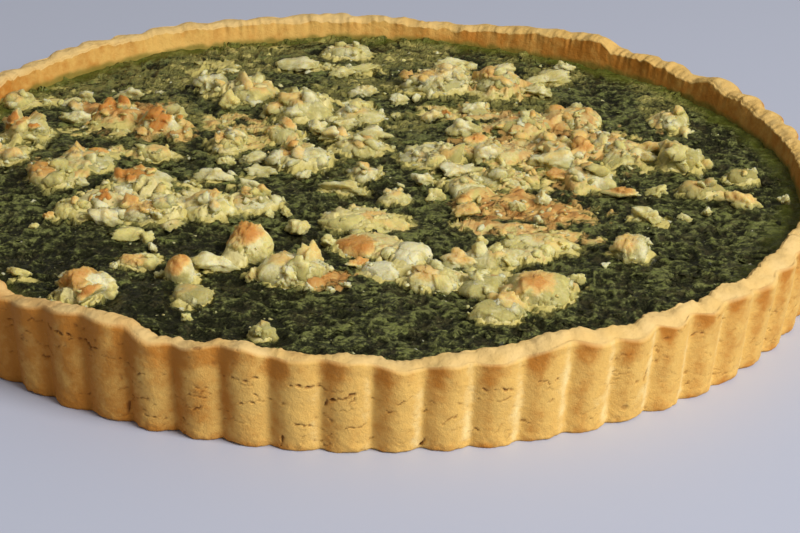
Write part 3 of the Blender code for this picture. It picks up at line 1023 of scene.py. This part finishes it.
# How browned a lump is, and which side of it, as a share towards -X and towards -Y; the others are as
# USUAL_BROWNING says.
BROWNED = {
    2: (0.85, 0.5, 0.0),
    3: (0.6, 0.6, 0.3),
    4: (0.95, 0.3, 0.0),
    6: (1.0, 0.4, 0.0),
    8: (0.55, -0.5, 0.0),
    9: (0.95, 0.6, 0.3),
    10: (0.1, 0.0, 0.0),
    11: (0.1, 0.0, 0.0),
    12: (0.5, 0.3, 0.0),
    13: (0.55, 0.0, 0.0),
    14: (0.45, 0.0, 0.0),
    15: (0.1, 0.0, 0.0),
    16: (0.95, 0.1, 0.3),
    17: (0.1, 0.0, 0.0),
    18: (0.45, 0.5, 0.0),
    19: (1.3, 0.4, 0.0),
    21: (0.8, 0.3, 0.2),
    22: (0.7, 0.3, 0.0),
    23: (1.1, 0.1, 0.2),
    24: (0.2, 0.0, 0.0),
    25: (1.5, 0.0, -0.4),
    26: (0.6, 0.6, 0.0),
    27: (0.5, 0.6, -0.3),
    29: (0.5, -0.3, 0.0),
    30: (1.7, 0.1, 0.6),
    31: (1.4, 0.1, 0.0),
    34: (0.7, 0.9, 0.0),
    35: (0.6, 0.2, 0.0),
    40: (0.5, -0.3, 0.0),
    42: (0.7, 0.0, 0.0),
    43: (0.7, -0.2, 0.0),
    44: (0.6, -0.4, 0.0),
    45: (0.8, 0.2, 0.0),
    49: (0.5, 0.2, 0.0),
    51: (0.5, 0.2, 0.0),
    54: (0.7, 0.0, 0.0),
    55: (0.7, -0.3, 0.0),
}
USUAL_BROWNING = (0.45, 0.2, 0.0)

# Small lumps without a solid: x, y, length, width and height in mm, how browned, and how yellow.
SMALL_LUMPS = (
    (-39.5, -69, 13, 9, 3.5, 0.1, 0.4),
    (-13.5, -70.5, 8, 8, 9, 0.35, 0.7),
    (38.5, -91, 13, 9, 6, 0.5, 0.9),
    (27, -64, 11, 7, 4, 0.45, 0.3),
    (53, -54, 7, 5, 3.5, 0.3, 0.9),
    (-64.5, -48.5, 11, 6, 3, 0.1, 1.0),
    (-43, -5, 11, 7, 3.5, 0.1, 0.4),
    (-34, -9, 8, 5, 3, 0.1, 0.5),
    (-10, 31, 9, 7, 4, 0.2, 0.4),
    (3, 34, 11, 7, 4, 0.1, 0.4),
    (28, 0, 12, 9, 4.5, 0.2, 0.3),
    (19, -5, 9, 7, 4, 0.1, 0.3),
    (30, 102, 12, 8, 3.5, 0.1, 0.5),
    (45, 97, 10, 7, 3.5, 0.2, 0.5),
    (88, 18, 9, 7, 4, 0.2, 0.5),
    (30, -29, 10, 7, 3.5, 0.5, 0.5),
    (84, -31, 9, 8, 4, 0.1, 0.7),
    (-74, -37, 9, 6, 4, 0.2, 0.3),
    (-5, -12, 14, 7, 3, 0.1, 0.6),
    (-20, 100, 15, 10, 4, 0.1, 0.4),
    (62, 88, 14, 8, 3, 0.1, 0.6),
    (-51.5, 78, 8, 18, 5, 0.1, 0.3),
    (-77, 68, 10, 8, 4, 0.1, 0.4),
    (-70, -22, 7, 6, 5, 0.1, 0.0),
    (-68, -33, 8, 6, 3.5, 0.1, 0.2),
    (-91, 45, 9, 6, 3.5, 0.1, 0.3),
    (-91, 67, 7, 5, 3.5, 0.0, 0.5),
    (-43, 58, 8, 7, 5, 0.2, 1.0),
    (-31, 53, 5, 5, 4, 0.0, 0.3),
    (-14, 37, 9, 6, 3, 0.1, 0.4),
    (-7, 42, 8, 5, 3, 0.1, 0.4),
    (-34, 10.6, 12, 5, 3, 0.0, 0.5),
    (-32, 0.8, 11, 5, 3, 0.0, 0.5),
    (-42, 10, 5, 5, 3, 0.1, 0.8),
    (-17, -2, 5, 4, 2.5, 0.1, 0.6),
    (-8, 93, 9, 6, 3, 0.1, 0.6),
    (0, 97, 12, 6, 2.5, 0.0, 0.8),
    (0, 73, 7, 6, 3, 0.2, 0.5),
    (11, 66, 7, 6, 3, 0.1, 0.5),
    (22, 50, 8, 6, 3.5, 0.3, 0.5),
    (59, 75, 9, 6, 4, 0.0, 0.5),
    (69, 100, 7, 5, 3, 0.0, 0.5),
    (36, 59, 13, 8, 4, 0.1, 0.3),
    (31.5, 39, 9, 9, 5, 0.1, 0.3),
    (27, 53, 5, 4, 3, 0.9, 0.5),
    (36, 28, 7, 6, 4, 0.9, 0.5),
    (37, 14, 9, 9, 5, 0.2, 0.3),
    (69, 22, 9, 8, 5, 0.8, 0.5),
    (58, 14, 12, 9, 5, 0.2, 0.4),
    (66, 11, 7, 6, 4, 0.4, 0.5),
    (59, 0, 9, 6, 3, 0.8, 0.4),
    (91, 25, 13, 7, 4, 0.4, 0.8),
    (114, -17, 11, 7, 4, 0.5, 0.9),
    (126, -15, 4, 4, 3, 0.0, 0.5),
    (102, -23, 3.5, 3, 2, 0.0, 0.5),
    (89, -9, 8, 5, 3, 0.0, 1.0),
    (94, -29, 4, 3, 2, 0.0, 0.5),
    (78, -11, 9, 5, 3, 0.9, 0.6),
    (-94, -74, 10, 4, 2.5, 0.2, 1.0),
    (-67, -47, 5, 4, 3, 0.0, 0.9),
    (-61, -50, 4, 4, 2.5, 0.0, 0.9),
    (-91, -36, 4, 3, 3, 0.8, 0.8),
    (-94, -42, 3, 3, 2, 0.2, 0.8),
    (-59, -57, 3, 3, 2.5, 0.0, 0.2),
    (-68.5, -70, 2.5, 2.5, 2, 0.0, 0.3),
    (-55, -75, 3, 2, 2, 0.0, 0.5),
    (-46, -101, 4, 3, 1.5, 0.0, 1.0),
    (-48, -96, 2, 2, 1.5, 0.0, 0.2),
    (-18, -44, 6, 5, 3.5, 0.2, 0.8),
    (-9, -53, 4, 4, 3, 0.1, 0.7),
    (-22, -31, 3, 3, 2.5, 0.0, 0.8),
    (-27, -33, 3, 3, 2.5, 0.0, 0.8),
    (-29, -76, 5, 9, 2.5, 0.3, 0.8),
    (-3.5, -80, 3, 3, 2, 0.0, 0.0),
    (-14, -82, 2.5, 2.5, 2, 0.0, 0.0),
    (-8, -83, 2, 2, 1.5, 0.0, 0.0),
    (-1, -66, 8, 5, 2.5, 0.9, 0.5),
    (21, -18, 5, 4, 3, 0.1, 0.8),
    (34, -50, 4, 3.5, 2.5, 0.2, 1.0),
    (60, -74, 4, 3, 2.5, 0.0, 0.8),
    (68, -65, 3, 2.5, 1.2, 0.0, 0.4),
    (53, -20, 6, 5, 4, 0.1, 0.3),
    (46, -24, 5, 4, 3.5, 0.1, 0.3),
    (51, -34, 3, 3, 2.5, 0.1, 0.2),
)

LUMPS = 58
LUMP_BOXES = [
    [np.array(corner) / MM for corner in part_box(f"cheese_{number:02d}")]
    for number in range(1, LUMPS + 1)
]
ROUNDED = (4, 6)  # lumps with a rounded top
BROKEN = (5, 8, 9, 10, 11, 16)  # lumps with broad smooth faces
GREYISH = (10, 11, 28, 36, 38, 53)  # lumps that stayed white rather than yellow
PEAKED = 7.5  # lumps lower than this have flatter tops, mm
SINK = 1.2  # how far the lumps sit in the filling, mm

# Lumps that melted down.
FLOWED = {8, 9, 10, 11, *range(13, 18), *range(22, 29), *range(35, 48), 55, 56, 57}

# How dull some lumps are, from 0 to 1; the others are duller the farther back they lie.
DULL = {
    1: 0.8,
    5: 0.9,
    8: 0.2,
    13: 0.6,
    15: 0.75,
    16: 0.6,
    17: 0.75,
    18: 0.5,
    19: 0.3,
    21: 0.6,
    22: 0.6,
    24: 0.4,
    28: 0.5,
    30: 0.3,
    48: 0.8,
    50: 1.0,
    51: 1.0,
}


def ball(count):
    """A ball of unit directions: a square sheet of count by count points folded over an octahedron, its edges
    joined in pairs, and blown up. It gives the directions and the faces."""
    side = np.linspace(-1, 1, count)
    u, v = np.meshgrid(side, side, indexing="ij")
    z = 1 - np.abs(u) - np.abs(v)
    x = np.where(z < 0, (1 - np.abs(v)) * np.sign(u), u)
    y = np.where(z < 0, (1 - np.abs(u)) * np.sign(v), v)
    points = np.stack([x, y, z], axis=-1).reshape(-1, 3)
    points /= np.linalg.norm(points, axis=1, keepdims=True)
    kept, number = np.unique(np.round(points, 6) + 0.0, axis=0, return_inverse=True)
    return kept, number.reshape(-1)[grid_faces(count, count)]


def reach(node, start, directions):
    """How far it is from start to the node's solid in each direction, in mm: each ray is met with every
    triangle, and the farthest meeting counts."""
    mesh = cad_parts[node].data
    mesh.calc_loop_triangles()
    places = np.empty(len(mesh.vertices) * 3, np.float32)
    mesh.vertices.foreach_get("co", places)
    corners = np.empty(len(mesh.loop_triangles) * 3, np.int32)
    mesh.loop_triangles.foreach_get("vertices", corners)
    corners = places.reshape(-1, 3)[corners.reshape(-1, 3)] / MM
    first, side_a, side_b = corners[:, 0], corners[:, 1] - corners[:, 0], corners[:, 2] - corners[:, 0]
    cross = np.cross(directions[:, None, :], side_b[None, :, :])
    size = (cross * side_a).sum(axis=2)
    size = np.where(np.abs(size) < 1e-9, np.inf, size)
    away = start - first
    u = (cross * away).sum(axis=2) / size
    turned = np.cross(away, side_a)
    v = directions @ turned.T / size
    far = (turned * side_b).sum(axis=1) / size
    slack = 1e-4
    met = (u >= -slack) & (v >= -slack) & (u + v <= 1 + slack)
    return np.where(met, far, 0).max(axis=1)


def soften(values, faces, rounds):
    """Averages a value with its neighbours along the faces' edges, a number of times."""
    starts = np.concatenate([faces[:, k] for k in range(4)])
    ends = np.concatenate([np.roll(faces, -1, axis=1)[:, k] for k in range(4)])
    count = np.bincount(starts, minlength=len(values)) + np.bincount(ends, minlength=len(values))
    for _ in range(rounds):
        total = np.bincount(starts, values[ends], len(values))
        total = total + np.bincount(ends, values[starts], len(values))
        values = 0.5 * values + 0.5 * total / count
    return values


def crumble(points, coarse=1.0):
    """How far crumbly cheese stands out at each point, how much painted shade it gets as if in a cleft, and its
    crumb's own number: broken facets of three sizes, each at its own level and tilt, smooth in some places and
    grainy in others, with narrow clefts of painted shade between some of the largest."""
    border, own, plane = cells(points, 5.2, 90)
    small_border, luck, small_plane = cells(points + 5, 2.1, 91)
    _, tiny_luck, tiny_plane = cells(points + 8, 0.9, 92)
    grainy = step(-0.3, 0.3, noise(points, 5, 97))
    fine = 0.1 + 0.9 * grainy
    out = coarse * (own - 0.5 + 1.1 * plane) + (0.3 + 0.5 * coarse) * noise(points, 3.2, 96)
    out = out + fine * (0.6 * (luck - 0.5) + 0.7 * small_plane)
    out = out + fine * (0.5 * (tiny_luck - 0.5) + 0.5 * tiny_plane) + 0.15 * noise(points, 1.3, 99)
    seams = coarse * step(0.5, 0.65, 0.5 * noise(points, 4, 95) + own)
    cleft_shade = seams * (1 - step(0.0, 0.14, border))
    cleft_shade = cleft_shade + 0.35 * grainy * (1 - luck) * (1 - step(0.0, 0.25, small_border))
    return out, np.clip(cleft_shade, 0, 1), own


def make_lump(number, finish):
    """One lump. Its solid is read as distances from a point low in its middle; they are smoothed, drawn towards
    an oval's and trimmed by seven random planes. Crumbs then stand out of it, its foot spreads, and it sinks
    a little into the filling."""
    name = f"cheese_{number:02d}"
    low, high = LUMP_BOXES[number - 1]
    size = high - low
    rounded = number in ROUNDED
    flow = flow_of(number)
    per_mm = 4.4 if low[1] < -25 else 3.4  # those near the viewer are finer
    count = int(np.clip(round(size.max() * per_mm * FINENESS), 27, 83)) // 2 * 2 + 1
    directions, faces = ball(count)
    start = low + size * (0.5, 0.5, 0.35)
    rounds = round(count * (0.09 if rounded else 0.05))
    far = soften(reach(name, start, directions), faces, rounds)
    oval = 1 / np.linalg.norm(directions / (size * (0.5, 0.5, 0.62)), axis=1)
    far = far + (0.75 if rounded else 0.25) * (oval - far)
    draw = np.random.default_rng(400 + number)
    cuts = draw.normal(size=(7, 3))
    cuts[:, 2] = 0.8 * np.abs(cuts[:, 2])
    cuts /= np.linalg.norm(cuts, axis=1, keepdims=True)
    facing = (directions * far[:, None] / (size / 2)) @ cuts.T
    trim = (draw.uniform(0.6, 0.95, 7) / np.maximum(facing, 0.05)).min(axis=1)
    far = far * (1 - (0.2 if rounded else 0.9) * np.maximum(1 - trim, 0))
    body = start + directions * far[:, None]
    # crumbs, fewer on the underside
    out, cleft_shade, own = crumble(body, 0.2 if rounded else 1.0 - 0.5 * (number in FLOWED))
    out = out * (0.65 if number in BROKEN else np.clip(size.min() / 7, 0.45, 1))
    body = body + directions * (out * (0.5 + 0.5 * step(-0.6, 0.3, directions[:, 2])))[:, None]
    # share is 0 at the solid's foot and 1 at its top; low lumps have flatter tops, and melted ones sag
    share = (body[:, 2] - low[2]) / size[2]
    if size[2] < PEAKED:
        body[:, 2] -= 0.35 * size[2] * np.maximum(share - 0.6, 0)
    body[:, 2] -= 0.2 * flow * size[2] * np.clip(share, 0, 1)
    body[:, 2] -= SINK * (1 - step(0.0, 0.8, share))
    middle = (low[:2] + high[:2]) / 2
    flare = 0.06 + 0.34 * flow
    body[:, :2] += (body[:, :2] - middle) * (flare * (1 - step(0.0, 0.9, share)))[:, None]
    # browned on top and towards one side; olive at the foot, partly wet cheese and partly painted shade
    amount, to_left, to_front = BROWNED.get(number, USUAL_BROWNING)
    lean = directions @ np.array([-to_left, -to_front, 0.9])
    patchy = 0.4 * rough(body, 5, 3, 94) + (0.1 if rounded or number in BROKEN else 0.4) * (own - 0.5)
    brown = amount * step(0.1, 0.95, lean + patchy + 0.2 * (share - 0.6))
    dull = DULL.get(number, 0.12 + 0.45 * step(-60, 50, low[1]))
    wet_and_shade = dull + (1 - dull) * (1 - step(0.05, 0.55, share + 0.25 * noise(body, 3, 95))) + 0.3 * (0.5 - own)
    yellow = luck_of(number) + 0.7 * (own - 0.5)
    # the dullest lumps also take the painted cleft shade all over, as a darker tone
    cleft_shade = np.clip(cleft_shade + 2 * max(dull - 0.7, 0), 0, 1)
    make_piece(
        f"cheese_lump_{number:02d}",
        body,
        [faces],
        finish,
        replaces=[name],
        values={"brown": brown, "cleft_shade": cleft_shade, "wet_and_shade": wet_and_shade, "yellow": yellow},
    )


def luck_of(number):
    """How yellow a lump is, from 0 to 1."""
    return 0.0 if number in GREYISH else 0.35 + 0.6 * ((number * 0.618) % 1)


def cheese_finish():
    """Crumbled cheese: cream to yellow; olive near the filling, partly wet cheese and partly painted shade;
    painted shade in its clefts; orange to brown where the oven caught it."""
    paint = Paint(
        "crumbled_cheese",
        Specular_IOR_Level=0.3,
        Subsurface_Weight=0.6,
        Subsurface_Radius=(1.0, 0.8, 0.35),
        Subsurface_Scale=0.003,
    )
    grain = paint.noise(1300, 4.0, 0.65)
    patches = paint.noise(260, 3.0)
    yellow = paint.point("yellow") + (patches - 0.5) * 1.6
    colour = paint.mix(yellow.between(0.0, 1.0), srgb(232, 224, 180), srgb(223, 208, 130))
    wet_and_shade = paint.point("wet_and_shade") + (grain - 0.5) * 0.9 + (patches - 0.5) * 1.8
    # olive: partly wet cheese, partly painted shade
    colour = paint.mix(wet_and_shade.between(0.0, 1.0) * 0.85, colour, srgb(171, 162, 95))
    brown = paint.point("brown") + (patches - 0.5) * 0.6 + (grain - 0.5) * 0.5
    colour = paint.mix(brown.between(0.05, 0.6), colour, srgb(232, 192, 116))
    colour = paint.mix(brown.between(0.4, 1.15), colour, srgb(202, 136, 62))
    # painted shade in the clefts
    colour = paint.mix(paint.point("cleft_shade") * 0.45, colour, srgb(132, 116, 54))
    return paint.finish(colour, 0.62 + (grain - 0.5) * 0.4, grain, 0.0004)


def scatter(name, places, sizes, turns, lifts, count, finish, values, seed, crumbly=0.0):
    """Many small bodies in one piece. Each is a ball stretched to its three sizes, cut to a blunt many-sided
    shape, turned about the upright and tilted by its lift; values give one number a body. Where crumbly is over
    0, crumbs stand out that much, and the bodies are browner on top and olive below, partly wet cheese and
    partly painted shade."""
    directions, faces = ball(count)
    many, each = len(places), len(directions)
    draw = np.random.default_rng(seed)
    cuts = draw.normal(size=(many, 9, 3))
    cuts /= np.linalg.norm(cuts, axis=2, keepdims=True)
    level = draw.uniform(0.4, 0.95, (many, 1, 9))
    facing = np.maximum(np.einsum("ed,mkd->mek", directions, cuts), 0.05)
    swell = np.minimum((level / facing).min(axis=2), 1.1)
    apart = np.arange(many)[:, None, None] * (3.7, 0, 0)
    swell = swell * (1 + 0.28 * noise(directions[None] * 1.3 + apart, 1.0, seed))
    swell = swell * (1 + 0.25 * noise(directions[None] * 3.1 + apart, 1.0, seed + 1))
    local = directions[None] * swell[..., None] * sizes[:, None, :] / 2
    c, s = np.cos(lifts)[:, None], np.sin(lifts)[:, None]
    x, z = local[..., 0] * c - local[..., 2] * s, local[..., 0] * s + local[..., 2] * c
    c, s = np.cos(turns)[:, None], np.sin(turns)[:, None]
    turned = np.stack([x * c - local[..., 1] * s, x * s + local[..., 1] * c, z], axis=-1)
    points = turned + places[:, None, :]
    top = np.broadcast_to(directions[None, :, 2], (many, each))
    layers = {key: np.broadcast_to(np.asarray(value)[:, None], (many, each)) for key, value in values.items()}
    if crumbly:
        out, cleft_shade, _ = crumble(points, 0.5)
        small = np.clip(sizes.min(axis=1) / 5, 0.15, 0.8)[:, None]
        outward = turned / np.linalg.norm(turned, axis=-1, keepdims=True)
        points = points + outward * (crumbly * small * out)[..., None]
        layers["brown"] = layers["brown"] * step(-0.2, 0.8, top)
        # olive below: partly wet cheese, partly painted shade
        layers["wet_and_shade"] = 0.25 + 0.75 * (1 - step(-0.3, 0.9, top))
        layers["cleft_shade"] = cleft_shade * small
    all_faces = faces[None] + (np.arange(many) * each)[:, None, None]
    make_piece(name, points.reshape(-1, 3), [all_faces.reshape(-1, 4)], finish, values=layers)


def in_disc(draw, count, radius):
    """Random places spread evenly over a disc."""
    away = radius * np.sqrt(draw.random(count))
    turn = 2 * math.pi * draw.random(count)
    return away * np.cos(turn), away * np.sin(turn)


def crumb_sizes(draw, width, longest, thinnest, thickest):
    """The three sizes of crumbs: random shares of their width make their length and their height."""
    length = width * draw.uniform(0.9, longest, len(width))
    return np.stack([length, width, width * draw.uniform(thinnest, thickest, len(width))], axis=1)


def make_curds(finish):
    """Grains that stick to the lumps, at their feet and on their flanks."""
    draw = np.random.default_rng(12)
    rows = []
    for number in range(1, LUMPS + 1):
        low, high = LUMP_BOXES[number - 1]
        size = high - low
        amount, to_left, to_front = BROWNED.get(number, USUAL_BROWNING)
        for _ in range(int(3 if number in BROKEN else 4 + size[0] * size[1] / 28)):
            turn = draw.uniform(0, 2 * math.pi)
            level = draw.uniform(0.0, 0.8)
            away = (0.52 - 0.26 * level) * draw.uniform(0.8, 1.2)
            width = 0.7 + 1.9 * draw.random() ** 2
            place = low + size * (0.5 + away * math.cos(turn), 0.5 + away * math.sin(turn), 0.05 + 0.75 * level)
            brown = amount * step(0.3, 1.0, level + 0.3 - to_left * math.cos(turn)) * draw.uniform(0.3, 1.0)
            rows.append((*place, width, luck_of(number), brown))
    rows = np.array(rows)
    many = len(rows)
    width = rows[:, 3]
    sizes = crumb_sizes(draw, width, 1.5, 0.6, 1.0)
    values = {"brown": rows[:, 5], "cleft_shade": 0 * width, "yellow": rows[:, 4]}
    turns, lifts = draw.uniform(0, 6.3, many), draw.normal(0, 0.4, many)
    scatter("cheese_curds", rows[:, :3], sizes, turns, lifts, 9, finish, values, 98, 0.4)


def make_chunks(finish):
    """Crumbs that the lumps are heaped of: they lie over each lump's top and flanks, some browned more than
    others. Those near the viewer are fewer and have finer faces."""
    draw = np.random.default_rng(15)
    rows = []
    for number in range(1, LUMPS + 1):
        if number in ROUNDED:
            continue
        low, high = LUMP_BOXES[number - 1]
        size = high - low
        amount, to_left, to_front = BROWNED.get(number, USUAL_BROWNING)
        heaped = size[0] * size[1] / (150 if low[1] < -45 else 45)
        for _ in range(0 if number in BROKEN else int(1 + heaped)):
            turn = draw.uniform(0, 2 * math.pi)
            away = 0.42 * math.sqrt(draw.random())
            level = (1 - (away / 0.5) ** 2) * (0.7 if number in FLOWED else 0.85)
            width = np.clip(draw.uniform(0.3, 0.55) * min(size[:2]), 2.5, 7.5)
            place = low + size * (0.5 + away * math.cos(turn), 0.5 + away * math.sin(turn), level)
            toward = -to_left * math.cos(turn) - to_front * math.sin(turn)
            brown = max(amount, 0.6) * np.clip(draw.uniform(-0.5, 1.5) + toward + max(amount - 0.7, 0), 0, 1.2)
            rows.append((*place, width, draw.uniform(0.0, 1.0), brown, low[1] < -25))
    for name, near, facets in (("cheese_chunks_near", True, 17), ("cheese_chunks_far", False, 9)):
        table = np.array([row for row in rows if row[6] == near])
        many = len(table)
        width = table[:, 3]
        sizes = crumb_sizes(draw, width, 1.5, 0.6, 0.9)
        values = {"brown": table[:, 5], "cleft_shade": 0 * width, "yellow": table[:, 4]}
        turns, lifts = draw.uniform(0, 6.3, many), draw.normal(0, 0.4, many)
        scatter(name, table[:, :3], sizes, turns, lifts, facets, finish, values, 95, 1.0)


def make_small_lumps(finish):
    """The small lumps that have no solid of their own, in one piece."""
    table = np.array(SMALL_LUMPS)
    draw = np.random.default_rng(14)
    many = len(table)
    x, y = table[:, 0], table[:, 1]
    height, _ = filling_top(x, y)
    places = np.stack([x, y, bed_height(x, y) + 0.3 * table[:, 4]], axis=1)
    places[:, 2] = np.maximum(places[:, 2], height)
    sizes = table[:, 2:5] * (1.08, 1.08, 1.35)
    values = {"brown": table[:, 5], "cleft_shade": 0 * table[:, 5], "yellow": table[:, 6]}
    turns, lifts = draw.normal(0, 0.2, many), draw.normal(0, 0.12, many)
    scatter("cheese_small_lumps", places, sizes, turns, lifts, 29, finish, values, 99, 0.7)


def make_crumbs(cheese, filling):
    """Crumbs of cheese where the filling is creamy and some elsewhere, and flakes of leaf on the rest."""
    draw = np.random.default_rng(11)
    for name, tries, low, high, facets, most, crumbly in (
        ("cheese_pieces", 1200, 3.2, 6.5, 9, 0.45, 0.7),
        ("cheese_crumbs", 4200, 1.6, 3.4, 9, 0.45, 0.4),
        ("cheese_bits", 12000, 0.5, 1.4, 5, 0.3, 0.2),
    ):
        x, y = in_disc(draw, tries, 125)
        cream_and_sheen, burnt, _ = melt(x, y)
        share = 0.03 / high + most * step(0.25, 0.7, cream_and_sheen) * (0.3 + 0.7 * step(-70, -10, y))
        wanted = draw.random(tries) < share
        x, y, burnt = x[wanted], y[wanted], burnt[wanted]
        many = len(x)
        width = low + (high - low) * draw.random(many) ** 1.6
        sizes = crumb_sizes(draw, width, 1.6, 0.5, 0.8)
        height, _ = filling_top(x, y)
        places = np.stack([x, y, height - 0.08 * width], axis=1)
        brown = np.clip(burnt + 0.9 * (draw.random(many) - 0.66), 0, 1)
        values = {"brown": brown, "cleft_shade": 0 * brown, "yellow": draw.uniform(0.2, 1.0, many)}
        turns, lifts = draw.uniform(0, 6.3, many), draw.normal(0, 0.3, many)
        scatter(name, places, sizes, turns, lifts, facets, cheese, values, 96, crumbly)
    x, y = in_disc(draw, 900, 127)
    cream_and_sheen, _, _ = melt(x, y)
    x, y = x[cream_and_sheen < 0.3], y[cream_and_sheen < 0.3]
    many = len(x)
    ranges = ((1.6, 4.6), (0.8, 2.2), (0.25, 0.5))
    sizes = np.stack([draw.uniform(least, most, many) for least, most in ranges], axis=1)
    height, _ = filling_top(x, y)
    places = np.stack([x, y, height + draw.uniform(-0.1, 0.4, many)], axis=1)
    values = dict.fromkeys(("leaf", "deep", "cream_and_sheen", "burnt", "oily", "hollow_shade"), np.zeros(many))
    values["leaf"] = draw.random(many)
    turns, lifts = draw.uniform(0, 6.3, many), draw.normal(0, 0.25, many)
    scatter("leaf_flakes", places, sizes, turns, lifts, 7, filling, values, 97)


# ---------------------------------------------------------------- stage, light and camera


def set_stage():
    """A pale floor, a broad soft light from the right and a little in front, and a weak sky."""
    half = 4.0
    mesh = bpy.data.meshes.new("floor")
    mesh.from_pydata([(-half, -half, 0), (half, -half, 0), (half, half, 0), (-half, half, 0)], [], [(0, 1, 2, 3)])
    paint = Paint("pale_floor", Roughness=0.6)
    paint.shader.inputs["Base Color"].default_value = srgb(190, 195, 214)
    mesh.materials.append(paint.material)
    floor = bpy.data.objects.new("floor", mesh)
    bpy.context.scene.collection.objects.link(floor)

    world = bpy.data.worlds.new("room")
    world.use_nodes = True
    world.node_tree.nodes["Background"].inputs["Color"].default_value = (1.0, 0.99, 0.96, 1.0)
    world.node_tree.nodes["Background"].inputs["Strength"].default_value = 0.24
    bpy.context.scene.world = world

    lamp = bpy.data.lights.new("window", "AREA")
    lamp.shape = "DISK"
    lamp.size = 1.1
    lamp.energy = 44
    lamp.color = (1.0, 0.99, 0.96)
    window = bpy.data.objects.new("window", lamp)
    bpy.context.scene.collection.objects.link(window)
    window.location = (1.2, -1.05, 1.25)
    window.rotation_euler = (Vector((0, 0, 0)) - window.location).to_track_quat("-Z", "Y").to_euler()


def set_camera():
    """The viewer looks down at the front of the quiche, a little to the right of its middle."""
    place = Vector((0.0, -0.6787, 0.2948))
    aim = Vector((0.0117, -0.0191, 0.0))
    roll = math.radians(1.27)
    lens = bpy.data.cameras.new("viewer")
    lens.sensor_width = 36.0
    lens.lens = 108.5
    lens.clip_start = 0.01
    camera = bpy.data.objects.new("viewer", lens)
    bpy.context.scene.collection.objects.link(camera)
    ahead = (aim - place).normalized()
    level = ahead.cross(Vector((0, 0, 1))).normalized()
    upward = level.cross(ahead)
    across = level * math.cos(roll) + upward * math.sin(roll)
    over = upward * math.cos(roll) - level * math.sin(roll)
    turn = Matrix((across, over, -ahead)).transposed().to_4x4()
    camera.matrix_world = Matrix.Translation(place) @ turn
    bpy.context.scene.camera = camera


def main():
    bpy.context.scene.view_settings.view_transform = "Standard"
    set_stage()
    set_camera()
    crust = crust_finish()
    make_case(crust)
    make_base(crust)
    filling = filling_finish()
    make_filling(filling)
    cheese = cheese_finish()
    for number in range(1, LUMPS + 1):
        make_lump(number, cheese)
    make_chunks(cheese)
    make_small_lumps(cheese)
    make_curds(cheese)
    make_crumbs(cheese, filling)


main()
